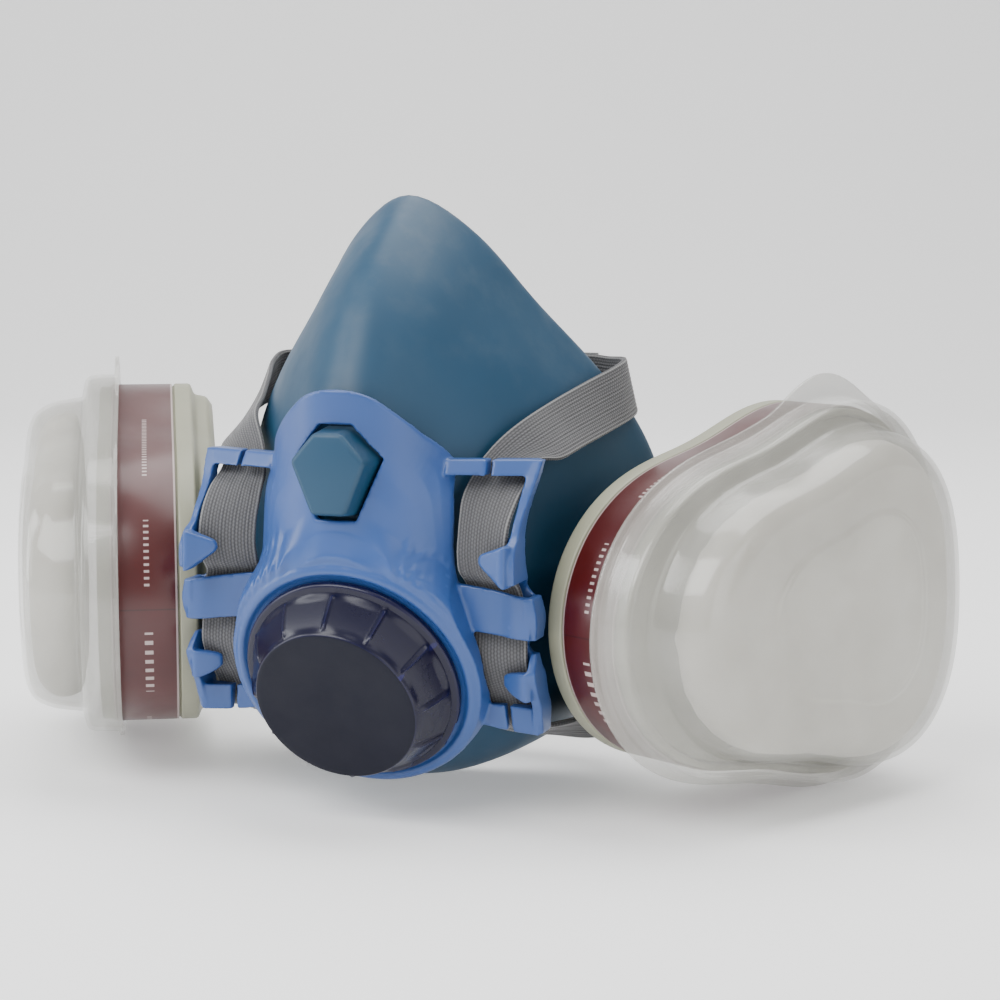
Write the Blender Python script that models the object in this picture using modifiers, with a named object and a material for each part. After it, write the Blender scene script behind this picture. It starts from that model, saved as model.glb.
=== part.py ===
"""Half-mask respirator with two replaceable filter cartridges, built as separate pieces.

The facepiece is soft silicone. A rigid yoke sits on its front, holds the exhalation valve and guides the
head straps through a ladder on each side. A cartridge turns onto a bayonet port on each cheek, and a clear
retainer snaps over it and holds a particulate pad.

Frame: +Z is up and the mask faces -Y, so +X is the wearer's left. The origin is on the plane of symmetry,
level with the lowest point and midway between front and back. Lengths are in millimetres until they become
a mesh, which holds metres. Design points are measured from the front of the facepiece's hexagonal stud.
"""

import math

import bmesh
import bpy
from mathutils import Matrix, Vector

MM = 0.001

# Where the design datum (the stud's front) lies in the part's frame.
DATUM_BACK = -52.85
DATUM_UP = 77.92

# Yoke and exhalation valve.
YOKE_THICKNESS = 2.0
YOKE_FRONT = 2.2
YOKE_CURVE = 25.0
BROW_TIGHTER = 3.4
VALVE_CENTRE = Vector((0.0, 12.5, -45.6))
VALVE_TILT = math.radians(23.0)
BEZEL_RADIUS = 29.0
BEZEL_BLEND = 36.0
YOKE_HOLE = 20.6
COVER_RADIUS = 24.7
COVER_FACE = 18.4
COVER_HEIGHT = 12.2
COVER_RIBS = 12

# Facepiece.
SKIN = 1.8
SKIN_GAP = 0.85
EDGE_GAP = 0.9
SEAT_HOLE = 18.6
SEAT_FLAT = 20.6
STUD_OUTLINE = ((-3.5, 9.7), (3.5, 9.7), (9.5, 2.9), (4.3, -9.6), (-4.3, -9.6), (-9.5, 2.9))
STUD_TOP = -2.0
BULGE = 5.3
BULGE_SHAPE = 1.4

# Strap ladders.
STRAP_WIDTH = 12.7
STRAP_THICKNESS = 1.2
LADDER_TOP = 2.2
LADDER_FOOT = -57.5
SKIRT_FADE = 6.0

# Cartridges: a rounded triangle, pointing forward, r = R (1 + a2 cos 2p + a3 cos 3p + a4 cos 4p).
OUTLINE_RADIUS = 50.6
OUTLINE_WAVES = ((2, 0.125), (3, -0.085), (4, -0.02))
OUTLINE_STEPS = 30
EVEN_INSET = 2.4
CARTRIDGE_TURN = math.radians(62.0)
CARTRIDGE_ROLL = math.radians(3.0)
RETAINER_CENTRE = Vector((82.5, 61.5, -32.5))
RETAINER_LEVEL = 22.0
BAYONET_OFFSET = 19.0
PORT_LEVEL = -4.4
HOUSING_DEPTH = 28.0
HOUSING_WALL = 1.6
RETAINER_WALL = 1.1
TAB_ANGLE = 72.0
TAB_SPREAD = 22.0
TAB_LIFT = 4.0
LUGS = 3
NOTCH_TURN = math.radians(40.0)

# Straps behind the mask.
CLIP_BAR_X = 15.0
LOOP_GAP = 2.0
CRADLE_LEVEL = 15.0
NECK_LEVEL = -58.0
CRADLE_BACK = 80.0
NECK_BACK = 88.0

ROUND_STEPS = 24
HALF_STATIONS = 18
BOSS_DEPTH = 11.0
SHARP_CORNER = math.radians(35.0)


# ---------------------------------------------------------------- scene helpers


def clear_scene():
    for obj in list(bpy.data.objects):
        bpy.data.objects.remove(obj, do_unlink=True)


def collection(name):
    made = bpy.data.collections.new(name)
    bpy.context.scene.collection.children.link(made)
    return made


def material(name, colour, roughness, metallic=0.0, alpha=1.0):
    made = bpy.data.materials.new(name)
    made.use_nodes = True
    shader = made.node_tree.nodes["Principled BSDF"]
    shader.inputs["Base Color"].default_value = (*colour, 1.0)
    shader.inputs["Roughness"].default_value = roughness
    shader.inputs["Metallic"].default_value = metallic
    shader.inputs["Alpha"].default_value = alpha
    return made


def mesh_from(name, points, faces, edges=(), sheet=False):
    """A mesh in metres from points in millimetres. Unless it is a sheet, its faces are made to point out."""
    mesh = bpy.data.meshes.new(name)
    mesh.from_pydata([Vector(p) * MM for p in points], list(edges), faces)
    if faces and not sheet:
        bm = bmesh.new()
        bm.from_mesh(mesh)
        bmesh.ops.recalc_face_normals(bm, faces=bm.faces)
        bm.to_mesh(mesh)
        bm.free()
    return mesh


def add_object(name, mesh, finish, parent, where=(0, 0, 0)):
    """An object of the part, at a place in its parent's frame in millimetres."""
    obj = bpy.data.objects.new(name, mesh)
    obj.data.materials.append(finish)
    obj.parent = parent
    obj.location = Vector(where) * MM
    PART.objects.link(obj)
    return obj


def tool(name, mesh, parent, where=(0, 0, 0), turn=0.0):
    """A shape for a Boolean, turned about its parent's Z axis. It is no part of the object."""
    obj = bpy.data.objects.new(name, mesh)
    obj.parent = parent
    obj.location = Vector(where) * MM
    obj.rotation_euler = (0.0, 0.0, turn)
    obj.hide_render = True
    obj.display_type = "WIRE"
    CUTTERS.objects.link(obj)
    return obj


def empty(name, parent, matrix):
    obj = bpy.data.objects.new(name, None)
    obj.parent = parent
    obj.matrix_local = matrix
    PART.objects.link(obj)
    return obj


def boolean(obj, operation, *others):
    for other in others:
        modifier = obj.modifiers.new(f"{operation.lower()} {other.name}", "BOOLEAN")
        modifier.operation = operation
        modifier.solver = "EXACT"
        modifier.object = other


def solidify(obj, thickness, offset=-1.0):
    modifier = obj.modifiers.new("thickness", "SOLIDIFY")
    modifier.thickness = thickness * MM
    modifier.offset = offset
    modifier.use_even_offset = False


def mirror(obj):
    """Replaces the object's -X half by a mirror image of its +X half."""
    modifier = obj.modifiers.new("other side", "MIRROR")
    modifier.use_axis = (True, False, False)
    modifier.use_bisect_axis = (True, False, False)
    modifier.merge_threshold = 1e-5


def screw(obj, steps=ROUND_STEPS):
    modifier = obj.modifiers.new("turn", "SCREW")
    modifier.steps = steps
    modifier.render_steps = steps
    modifier.use_merge_vertices = True
    modifier.merge_threshold = 1e-5


# ---------------------------------------------------------------- shapes


def turned_mesh(name, profile, closed):
    """A profile of (radius, height), outer side first and running down, for a Screw modifier about Z."""
    points = [(r, 0.0, h) for r, h in profile]
    edges = [(i, i + 1) for i in range(len(points) - 1)]
    if closed:
        edges.append((len(points) - 1, 0))
    return mesh_from(name, points, [], edges)


def turned(name, profile, finish, parent, closed=True, steps=ROUND_STEPS):
    obj = add_object(name, turned_mesh(name, profile, closed), finish, parent)
    screw(obj, steps)
    return obj


def turned_tool(name, profile, parent, closed=False, steps=ROUND_STEPS):
    obj = tool(name, turned_mesh(name, profile, closed), parent)
    screw(obj, steps)
    return obj


def box_mesh(name, low, high):
    """A box between two corners in millimetres."""
    mesh = bpy.data.meshes.new(name)
    bm = bmesh.new()
    size = [h - l for l, h in zip(low, high)]
    middle = [(h + l) / 2 for l, h in zip(low, high)]
    place = Matrix.Translation(Vector(middle) * MM) @ Matrix.Diagonal((*[s * MM for s in size], 1.0))
    bmesh.ops.create_cube(bm, size=1.0, matrix=place)
    bm.to_mesh(mesh)
    bm.free()
    return mesh


def cylinder_mesh(name, radius, low, high, segments=ROUND_STEPS):
    """A cylinder about Z between two heights in millimetres."""
    mesh = bpy.data.meshes.new(name)
    bm = bmesh.new()
    place = Matrix.Translation((0, 0, (low + high) / 2 * MM))
    size = radius * MM
    depth = (high - low) * MM
    bmesh.ops.create_cone(
        bm, cap_ends=True, segments=segments, radius1=size, radius2=size, depth=depth, matrix=place
    )
    bm.to_mesh(mesh)
    bm.free()
    return mesh


def loft(rings, cap_first=False, cap_last=False, join_ends=False):
    """Faces between closed rings of equal length. join_ends closes the last ring back onto the first."""
    count = len(rings[0])
    points = [p for ring in rings for p in ring]
    pairs = [(i, i + 1) for i in range(len(rings) - 1)]
    if join_ends:
        pairs.append((len(rings) - 1, 0))
    faces = []
    for a, b in pairs:
        for j in range(count):
            k = (j + 1) % count
            faces.append((a * count + j, a * count + k, b * count + k, b * count + j))
    if cap_first:
        faces.append(tuple(range(count)))
    if cap_last:
        start = (len(rings) - 1) * count
        faces.append(tuple(start + j for j in range(count)))
    return points, faces


def prism_mesh(name, outline, low, high):
    """An outline in X and Z, drawn from one depth in Y to another."""
    rings = [[(x, y, z) for x, z in outline] for y in (low, high)]
    return mesh_from(name, *loft(rings, cap_first=True, cap_last=True))


def spline(stations, t, mirrored_ends=False):
    """A point on a smooth curve through equally spaced stations, for t from 0 to 1.

    With mirrored_ends it is half of a curve that crosses the plane of symmetry squarely at both ends."""
    last = len(stations) - 1
    place = min(max(t, 0.0), 1.0) * last
    i = min(int(place), last - 1)
    f = place - i
    p1, p2 = Vector(stations[i]), Vector(stations[i + 1])
    p0 = Vector(stations[i - 1]) if i > 0 else beyond_end(p1, p2, mirrored_ends)
    p3 = Vector(stations[i + 2]) if i < last - 1 else beyond_end(p2, p1, mirrored_ends)
    square = 2 * p0 - 5 * p1 + 4 * p2 - p3
    cube = 3 * p1 - p0 - 3 * p2 + p3
    return 0.5 * (2 * p1 + (p2 - p0) * f + square * f**2 + cube * f**3)


def beyond_end(end, inner, mirrored_ends):
    return Vector((-inner.x, *inner[1:])) if mirrored_ends else end * 2 - inner


def half_outline(stations, t):
    return spline(stations, t, mirrored_ends=True)


def smooth_step(x):
    x = min(max(x, 0.0), 1.0)
    return x * x * (3 - 2 * x)


# ---------------------------------------------------------------- yoke and facepiece surfaces


def valve_frame():
    """The exhalation valve's frame: Z out along its axis, X across the mask."""
    out = Vector((0.0, -math.cos(VALVE_TILT), -math.sin(VALVE_TILT)))
    across = Vector((1.0, 0.0, 0.0))
    up = out.cross(across)
    return Matrix.Translation(VALVE_CENTRE * MM) @ Matrix((across, up, out)).transposed().to_4x4()


def yoke_depth(x, z):
    """How far back the yoke's front face is: an upright barrel that runs into the valve's tilted plane."""
    radius = YOKE_CURVE + max(0.0, -z) / 7 - BROW_TIGHTER * smooth_step((z + 8.0) / 12.0)
    side = min(abs(x), radius * 0.97)
    barrel = YOKE_FRONT + radius - math.sqrt(radius**2 - side**2)
    plane = VALVE_CENTRE.y - (z - VALVE_CENTRE.z) * math.tan(VALVE_TILT)
    reach = math.hypot(x, (z - VALVE_CENTRE.z) / math.cos(VALVE_TILT))
    share = smooth_step((BEZEL_BLEND - reach) / (BEZEL_BLEND - BEZEL_RADIUS))
    return barrel + (plane - barrel) * share


def yoke_point(x, z, behind=0.0):
    """A point on the yoke's front face, or that far behind it along the face's normal."""
    step = 0.2
    slope_x = (yoke_depth(x + step, z) - yoke_depth(x - step, z)) / (2 * step)
    slope_z = (yoke_depth(x, z + step) - yoke_depth(x, z - step)) / (2 * step)
    back = Vector((-slope_x, 1.0, -slope_z)).normalized()
    return Vector((x, yoke_depth(x, z), z)) + back * behind


# Half outlines from the nose, over the cheek, to the chin.
YOKE_HALF = (
    (0.0, 17.6), (6.6, 16.4), (11.6, 12.9), (16.4, 8.2), (20.6, 2.4), (21.9, -8.0),
    (22.4, -20.5), (25.6, -32.0), (28.5, -41.0), (28.4, -50.0), (24.8, -58.5), (18.2, -65.4),
    (9.5, -69.6), (0.0, -70.9),
)  # fmt: skip
FRONT_HALF = (
    (0.0, 14.0), (6.0, 13.2), (10.6, 10.0), (13.4, 4.6), (14.2, -3.0), (14.5, -12.0),
    (15.4, -22.0), (18.2, -32.5), (20.0, -41.0), (21.3, -49.5), (18.6, -57.5), (13.4, -62.6),
    (7.0, -65.6), (0.0, -66.5),
)  # fmt: skip
RIM_HALF = (
    (0.0, 45.0, 59.0), (14.5, 49.7, 50.2), (26.5, 57.0, 34.5), (37.5, 64.0, 21.0), (46.0, 69.3, 8.5),
    (51.0, 73.5, -4.0), (53.6, 76.8, -19.0), (53.5, 78.4, -33.0), (51.0, 78.4, -43.0), (46.0, 76.8, -52.5),
    (37.5, 73.8, -61.5), (26.0, 68.8, -68.2), (13.0, 64.0, -72.8), (0.0, 62.0, -74.0),
)  # fmt: skip


def around(count):
    """(side, t) pairs once round the mask from the nose, with t from 0 at the nose to 1 at the chin."""
    left = [(1, i / count) for i in range(count + 1)]
    right = [(-1, i / count) for i in range(count - 1, 0, -1)]
    return left + right


def mirrored(point, side):
    return Vector((point[0] * side, *point[1:]))


def seat_ring_point(outline, t, radius, level):
    """The point of a circle about the valve's axis that faces an outline's point."""
    edge = half_outline(outline, t)
    angle = math.atan2(edge.x, (edge.y - VALVE_CENTRE.z) / math.cos(VALVE_TILT))
    local = Vector((radius * math.sin(angle), radius * math.cos(angle), level))
    return valve_frame().to_3x3() @ local + VALVE_CENTRE


def front_edge(t):
    """The edge of the silicone's front wall, behind the yoke."""
    return yoke_point(*half_outline(FRONT_HALF, t), YOKE_THICKNESS + SKIN_GAP + EDGE_GAP)


def front_middle(t):
    """Half way from the flat round the valve seat to the edge of the front wall."""
    flat, edge = seat_ring_point(FRONT_HALF, t, SEAT_FLAT, 0.0), half_outline(FRONT_HALF, t)
    return yoke_point((flat.x + edge.x) / 2, (flat.z + edge.y) / 2, YOKE_THICKNESS + SKIN_GAP + EDGE_GAP / 2)


def cheek_point(t, share):
    """The silicone's outer face from the edge of the front wall (share 0) to the rim (share 1)."""
    front, rim = front_edge(t), half_outline(RIM_HALF, t)
    middle = Vector((0.0, 0.0, -15.0))
    along = rim - front
    out = (front + rim) / 2 - middle
    out.y = 0.0
    out -= along * (out.dot(along) / along.length_squared)
    swell = BULGE * max(4 * share * (1 - share), 0.0) ** BULGE_SHAPE
    return front + along * share + out.normalized() * swell


def rim_out(t):
    """The direction out from the face opening, square to the rim."""
    step = 0.01
    along = half_outline(RIM_HALF, min(t + step, 1.0)) - half_outline(RIM_HALF, max(t - step, 0.0))
    back = Vector((0.0, 1.0, 0.0))
    return back.cross(along).normalized() * -1.0


# (back, inward) of each ring of the in-turned face seal, from the rim.
SEAL_STEPS = ((2.2, 0.6), (3.6, 2.6), (3.8, 5.4), (2.6, 9.0), (0.6, 12.5))


def seal_point(t, back, inward):
    rim = half_outline(RIM_HALF, t)
    out = rim_out(t)
    return rim + Vector((0.0, back, 0.0)) - out * inward


def facepiece_rings(count, cheek_steps):
    rings = []
    stations = around(count)
    for radius in (SEAT_HOLE, SEAT_FLAT):
        level = -YOKE_THICKNESS - SKIN_GAP
        rings.append([mirrored(seat_ring_point(FRONT_HALF, t, radius, level), s) for s, t in stations])
    rings.append([mirrored(front_middle(t), s) for s, t in stations])
    for i in range(cheek_steps + 1):
        rings.append([mirrored(cheek_point(t, i / cheek_steps), s) for s, t in stations])
    for back, inward in SEAL_STEPS:
        rings.append([mirrored(seal_point(t, back, inward), s) for s, t in stations])
    return rings


# ---------------------------------------------------------------- cartridge frame


def cartridge_frame(side):
    """A cartridge's frame: origin on the bayonet's axis at the housing's base, Z out of the cheek, Y up.

    Local X is u for the left cartridge and -u for the right one, where u runs back along the cheek."""
    b, roll = CARTRIDGE_TURN, CARTRIDGE_ROLL
    out = Vector((side * math.sin(b), -math.cos(b), 0.0))
    back = Vector((side * math.cos(b), math.sin(b), 0.0))
    up = Vector((0.0, 0.0, 1.0))
    u = back * math.cos(roll) + up * math.sin(roll)
    v = up * math.cos(roll) - back * math.sin(roll)
    centre = Vector((RETAINER_CENTRE.x * side, RETAINER_CENTRE.y, RETAINER_CENTRE.z))
    origin = centre - out * RETAINER_LEVEL - u * BAYONET_OFFSET
    return Matrix.Translation(origin * MM) @ Matrix((u * side, v, out)).transposed().to_4x4()


def outline_radius(angle, inset):
    """The radius, moved in evenly up to EVEN_INSET and in proportion from there, so it stays convex."""
    wave = sum(share * math.cos(k * angle) for k, share in OUTLINE_WAVES)
    even = min(inset, EVEN_INSET)
    shrink = (inset - even) / (OUTLINE_RADIUS - EVEN_INSET)
    return (OUTLINE_RADIUS * (1 + wave) - even) * (1 - shrink)


def outline_ring(side, inset, level, steps=OUTLINE_STEPS):
    """The cartridge's outline, moved in by an inset, at a level above the housing's base."""
    ring = []
    for i in range(steps):
        angle = side * 2 * math.pi * i / steps
        radius = outline_radius(angle, inset)
        ring.append((side * (radius * math.cos(angle) + BAYONET_OFFSET), radius * math.sin(angle), level))
    return ring


def outline_solid(name, side, profile, finish, parent):
    """A solid plate: rings of (inset, level) from its foot to its top, with both ends closed."""
    rings = [outline_ring(side, inset, level) for inset, level in profile]
    return add_object(name, mesh_from(name, *loft(rings, True, True)), finish, parent)


def outline_band(name, side, profile, finish, parent):
    """A closed band: a loop of (inset, level) carried round the outline."""
    rings = [outline_ring(side, inset, level) for inset, level in profile]
    return add_object(name, mesh_from(name, *loft(rings, join_ends=True)), finish, parent)


# ---------------------------------------------------------------- facepiece and valve


def build_facepiece(root, finish, frames):
    rings = facepiece_rings(HALF_STATIONS, 4)
    obj = add_object("facepiece", mesh_from("facepiece", *loft(rings), sheet=True), finish, root)
    solidify(obj, SKIN)
    foot = YOKE_FRONT + YOKE_THICKNESS + 3.4
    stud_rings = [
        [(x * size, y, z * size) for x, z in STUD_OUTLINE] for size, y in ((0.9, STUD_TOP), (1.0, foot))
    ]
    stud = tool("stud", mesh_from("stud", *loft(stud_rings, True, True)), root)
    boolean(obj, "UNION", stud)
    boss = tool("boss", cylinder_mesh("boss", 21.5, PORT_LEVEL - BOSS_DEPTH, PORT_LEVEL + 1.5), frames[1])
    face = tool("spot_face", cylinder_mesh("spot_face", 19.6, PORT_LEVEL, PORT_LEVEL + 20.0), frames[1])
    bore = tool("bore", cylinder_mesh("bore", 14.2, PORT_LEVEL - 20.0, PORT_LEVEL + 9.0), frames[1])
    boolean(obj, "UNION", boss)
    boolean(obj, "DIFFERENCE", face, bore)
    mirror(obj)
    return obj


def yoke_skirt(x, z):
    """The back edge of the yoke's side wall, which is deeper beside the ladder, where it carries the bars."""
    edge = yoke_depth(x, z) + 1.2
    inside = smooth_step((LADDER_TOP + SKIRT_FADE - z) / SKIRT_FADE)
    inside *= smooth_step((z - LADDER_FOOT + SKIRT_FADE) / SKIRT_FADE)
    reach = 14.4 + 7.6 * smooth_step((-42.0 - z) / 12.0)
    return Vector((x + 0.4, edge + inside * max(reach - edge, 0.0), z))


def build_yoke(root, finish):
    stations = around(HALF_STATIONS)
    rings = []
    for share in (0.0, 0.3, 0.65, 1.0):
        ring = []
        for side, t in stations:
            hole = seat_ring_point(YOKE_HALF, t, YOKE_HOLE, 0.0)
            edge = half_outline(YOKE_HALF, t)
            x = hole.x + (edge.x - hole.x) * share
            z = hole.z + (edge.y - hole.z) * share
            ring.append(mirrored(hole if share == 0 else yoke_point(x, z), side))
        rings.append(ring)
    rings.append([mirrored(yoke_skirt(*half_outline(YOKE_HALF, t)), side) for side, t in stations])
    obj = add_object("yoke", mesh_from("yoke", *loft(rings), sheet=True), finish, root)
    solidify(obj, YOKE_THICKNESS)
    grown = [(x * 1.06, (z - 1.0) * 1.06 + 1.0) for x, z in STUD_OUTLINE]
    window = tool("stud_window", prism_mesh("stud_window", grown, -4.0, 12.0), root)
    boolean(obj, "UNION", build_ladder(root))
    boolean(obj, "DIFFERENCE", window)
    mirror(obj)
    return obj


# The ladder's pieces, on the wearer's left. Uprights are (height, inner side, outer side, front, back).
LADDER_UPRIGHTS = {
    "upper_arm": (
        (2.1, 37.0, 39.8, 21.4, 24.6), (-1.1, 36.8, 39.4, 19.2, 22.8), (-4.0, 36.7, 38.9, 17.2, 21.0),
        (-6.8, 36.6, 38.5, 14.8, 19.2), (-9.8, 36.6, 38.3, 11.9, 17.0), (-12.8, 36.6, 38.3, 9.6, 15.4),
        (-14.8, 36.6, 38.6, 6.8, 14.4), (-18.0, 36.6, 38.8, 5.0, 13.8), (-22.7, 36.7, 38.9, 5.2, 15.4),
    ),
    "rail": (
        (-13.6, 34.2, 38.5, 11.6, 13.8), (-18.0, 34.2, 38.6, 11.1, 13.5), (-20.4, 34.2, 38.5, 12.2, 14.4),
        (-22.4, 34.2, 38.4, 14.5, 16.6), (-25.0, 34.4, 37.8, 17.1, 19.2), (-28.5, 34.4, 40.9, 17.1, 19.2),
        (-33.0, 34.4, 41.2, 17.3, 19.4), (-37.0, 34.4, 37.9, 16.9, 19.2), (-40.5, 34.4, 40.4, 16.7, 19.0),
        (-45.5, 34.4, 40.6, 19.7, 22.0),
    ),
    "bar_end": (
        (-26.3, 39.1, 40.9, 11.3, 18.4), (-31.0, 39.2, 41.7, 11.5, 18.8), (-35.6, 39.2, 41.2, 12.7, 18.9),
    ),
    "lower_arm": (
        (-38.8, 39.4, 40.6, 15.4, 18.2), (-41.5, 39.4, 41.0, 12.9, 18.8), (-43.5, 39.3, 41.2, 12.2, 20.4),
        (-48.5, 39.3, 41.2, 14.8, 22.6), (-51.0, 39.3, 41.3, 16.4, 24.2), (-57.0, 39.0, 41.0, 18.5, 24.8),
    ),
}  # fmt: skip
# Bars and claws are (distance from the middle, lower side, upper side, front below, front above, back).
LADDER_BARS = {
    "top_bar": ((20.6, -1.0, 2.3, 13.2, 15.3, 17.2), (38.6, -1.2, 2.2, 19.8, 21.9, 23.8)),
    "middle_bar": (
        (22.8, -34.0, -24.1, 13.6, 12.9, 15.0), (32.0, -34.8, -25.2, 13.2, 13.0, 14.7),
        (37.0, -35.3, -26.0, 12.0, 11.8, 13.8), (40.2, -35.4, -26.5, 11.8, 11.6, 13.9),
    ),
    "bottom_bar": (
        (24.0, -56.0, -51.2, 20.8, 20.0, 22.0), (33.0, -57.2, -51.4, 20.2, 19.3, 22.0),
        (40.2, -57.3, -51.1, 18.2, 17.0, 22.0),
    ),
    "upper_claw": (
        (37.8, -22.9, -14.7, 5.6, 5.8, 7.8), (36.7, -23.3, -14.4, 3.8, 4.2, 7.7),
        (33.8, -21.2, -15.5, 5.2, 5.4, 8.0), (31.2, -19.3, -16.5, 6.4, 6.5, 8.3),
        (30.4, -18.5, -17.4, 7.0, 7.0, 8.2),
    ),
    "lower_claw": (
        (40.2, -48.7, -42.7, 13.4, 12.9, 15.2), (38.8, -49.0, -42.6, 12.6, 12.0, 14.9),
        (35.5, -47.6, -43.0, 13.8, 13.4, 15.6), (33.4, -46.0, -43.7, 14.9, 14.8, 16.2),
    ),
}  # fmt: skip
# The slanted slits that let a strap's edge in, as outlines in X and Z.
LADDER_SLITS = {
    "top_slit": ((28.2, 4.0), (29.3, 4.0), (30.1, -3.0), (29.0, -3.0)),
    "bottom_slit": ((31.9, -49.5), (33.1, -49.5), (34.0, -60.0), (32.8, -60.0)),
}


def ladder_pieces(root):
    """The solids of a strap ladder: bars that start on the yoke, and arms, claws and a rail outside them."""
    pieces = []
    for part, sections in LADDER_UPRIGHTS.items():
        rings = []
        for z, inner, outer, front, back in sections:
            rings.append([(inner, front, z), (outer, front + 0.5, z), (outer, back, z), (inner, back, z)])
        pieces.append((part, rings))
    for part, sections in LADDER_BARS.items():
        rings = []
        for x, low, high, front_low, front_high, back in sections:
            lean = back + front_high - front_low if part == "top_bar" else back
            rings.append([(x, front_low, low), (x, front_high, high), (x, lean, high), (x, back, low)])
        pieces.append((part, rings))
    return [tool(part, mesh_from(part, *loft(rings, True, True)), root) for part, rings in pieces]


def build_ladder(root):
    """The ladder's bars, joined and slit. The strap weaves between them and the rail behind it."""
    first, *others = ladder_pieces(root)
    boolean(first, "UNION", *others)
    for part, outline in LADDER_SLITS.items():
        boolean(first, "DIFFERENCE", tool(part, prism_mesh(part, outline, 5.0, 40.0), root))
    return first


def build_valve(valve, finishes):
    """The exhalation valve: a seat clamped through the facepiece, a flap on its stem and a turning cover."""
    wall = YOKE_THICKNESS + SKIN_GAP
    behind = -wall - SKIN - 0.5
    seat_profile = (
        (19.7, 0.2), (19.7, -wall + 0.35), (17.9, -wall + 0.35), (17.9, behind),
        (19.2, behind), (19.2, behind - 1.6), (15.2, behind - 1.6), (15.2, 0.2),
    )  # fmt: skip
    seat = turned("exhalation_seat", seat_profile, finishes["seat"], valve)
    hub = tool("seat_hub", cylinder_mesh("seat_hub", 3.0, -4.0, -1.2, 18), valve)
    boolean(seat, "UNION", hub)
    for i in range(4):
        spoke = box_mesh("seat_spoke", (2.0, -0.8, -4.0), (15.8, 0.8, -1.2))
        boolean(seat, "UNION", tool(f"seat_spoke_{i}", spoke, valve, turn=math.pi * (i / 2 + 0.25)))
    bore = tool("seat_bore", cylinder_mesh("seat_bore", 1.6, -6.0, 1.0, 18), valve)
    boolean(seat, "DIFFERENCE", bore)

    flap_profile = (
        (0.0, 1.7), (2.2, 1.7), (16.4, 1.2), (16.4, 0.6), (2.0, 0.6), (1.25, 0.0),
        (1.25, -5.6), (2.1, -6.0), (1.0, -8.2), (0.0, -8.2),
    )  # fmt: skip
    turned("exhalation_flap", flap_profile, finishes["flap"], valve, closed=False)

    top, wall = COVER_HEIGHT, 1.5
    cover_profile = (
        (0.0, top), (COVER_FACE - 0.6, top), (COVER_FACE + 0.6, top - 0.8), (21.4, top - 4.4), (23.0, 4.2),
        (23.2, 2.6), (COVER_RADIUS - 0.3, 2.4), (COVER_RADIUS, 1.6), (COVER_RADIUS, 0.4), (22.6, 0.4),
        (21.6, 3.6), (20.0, top - 5.0), (COVER_FACE - 0.4, top - wall), (0.0, top - wall),
    )  # fmt: skip
    cover = turned("exhalation_cover", cover_profile, finishes["cover"], valve, closed=False, steps=36)
    for i in range(COVER_RIBS):
        rib = box_mesh("cover_rib", (20.2, -0.5, 3.0), (23.4, 0.5, top - 4.0))
        boolean(cover, "UNION", tool(f"cover_rib_{i}", rib, valve, turn=2 * math.pi * (i + 0.5) / COVER_RIBS))
    for i in range(-2, 3):
        outlet = box_mesh("cover_outlet", (19.0, -3.4, -1.0), (27.0, 3.4, 2.2))
        turn = -math.pi / 2 + i * 2 * math.pi / COVER_RIBS
        boolean(cover, "DIFFERENCE", tool(f"cover_outlet_{i + 2}", outlet, valve, turn=turn))


# ---------------------------------------------------------------- ports and cartridges


def build_port(side, frame, finishes):
    name = "left" if side > 0 else "right"
    inner = PORT_LEVEL - BOSS_DEPTH - 0.3
    port_profile = (
        (12.4, 5.2), (12.4, -1.9), (19.0, -1.9), (19.0, -4.1), (13.8, -4.1), (13.8, inner),
        (17.0, inner), (17.0, inner - 1.4), (10.6, inner - 1.4), (10.6, 5.2),
    )  # fmt: skip
    port = turned(f"bayonet_port_{name}", port_profile, finishes["port"], frame)
    for i in range(LUGS):
        lug = box_mesh("lug", (11.4, -4.2, 2.7), (15.4, 4.2, 4.7))
        boolean(port, "UNION", tool(f"lug_{name}_{i}", lug, frame, turn=2 * math.pi * i / LUGS))
        spoke = box_mesh("port_spoke", (0.0, -0.7, inner - 0.2), (11.4, 0.7, inner + 1.8))
        turn = 2 * math.pi * (i + 0.5) / LUGS
        boolean(port, "UNION", tool(f"port_spoke_{name}_{i}", spoke, frame, turn=turn))
    pin = turned_tool(
        f"port_pin_{name}",
        ((0.0, inner + 1.8), (2.4, inner + 1.8), (2.4, inner), (1.2, inner), (1.2, inner - 3.8),
         (2.1, inner - 4.2), (1.4, inner - 5.4), (0.0, inner - 5.4)),
        frame,
        steps=18,
    )  # fmt: skip
    boolean(port, "UNION", pin)

    flap_level = inner - 1.7
    flap_profile = ((12.6, flap_level), (12.6, flap_level - 0.6), (1.5, flap_level - 0.6), (1.5, flap_level))
    turned(f"inhalation_flap_{name}", flap_profile, finishes["flap"], frame)

    gasket_profile = ((18.4, -0.3), (18.4, -1.6), (15.4, -1.6), (15.4, -0.3))
    turned(f"port_gasket_{name}", gasket_profile, finishes["gasket"], frame)


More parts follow.
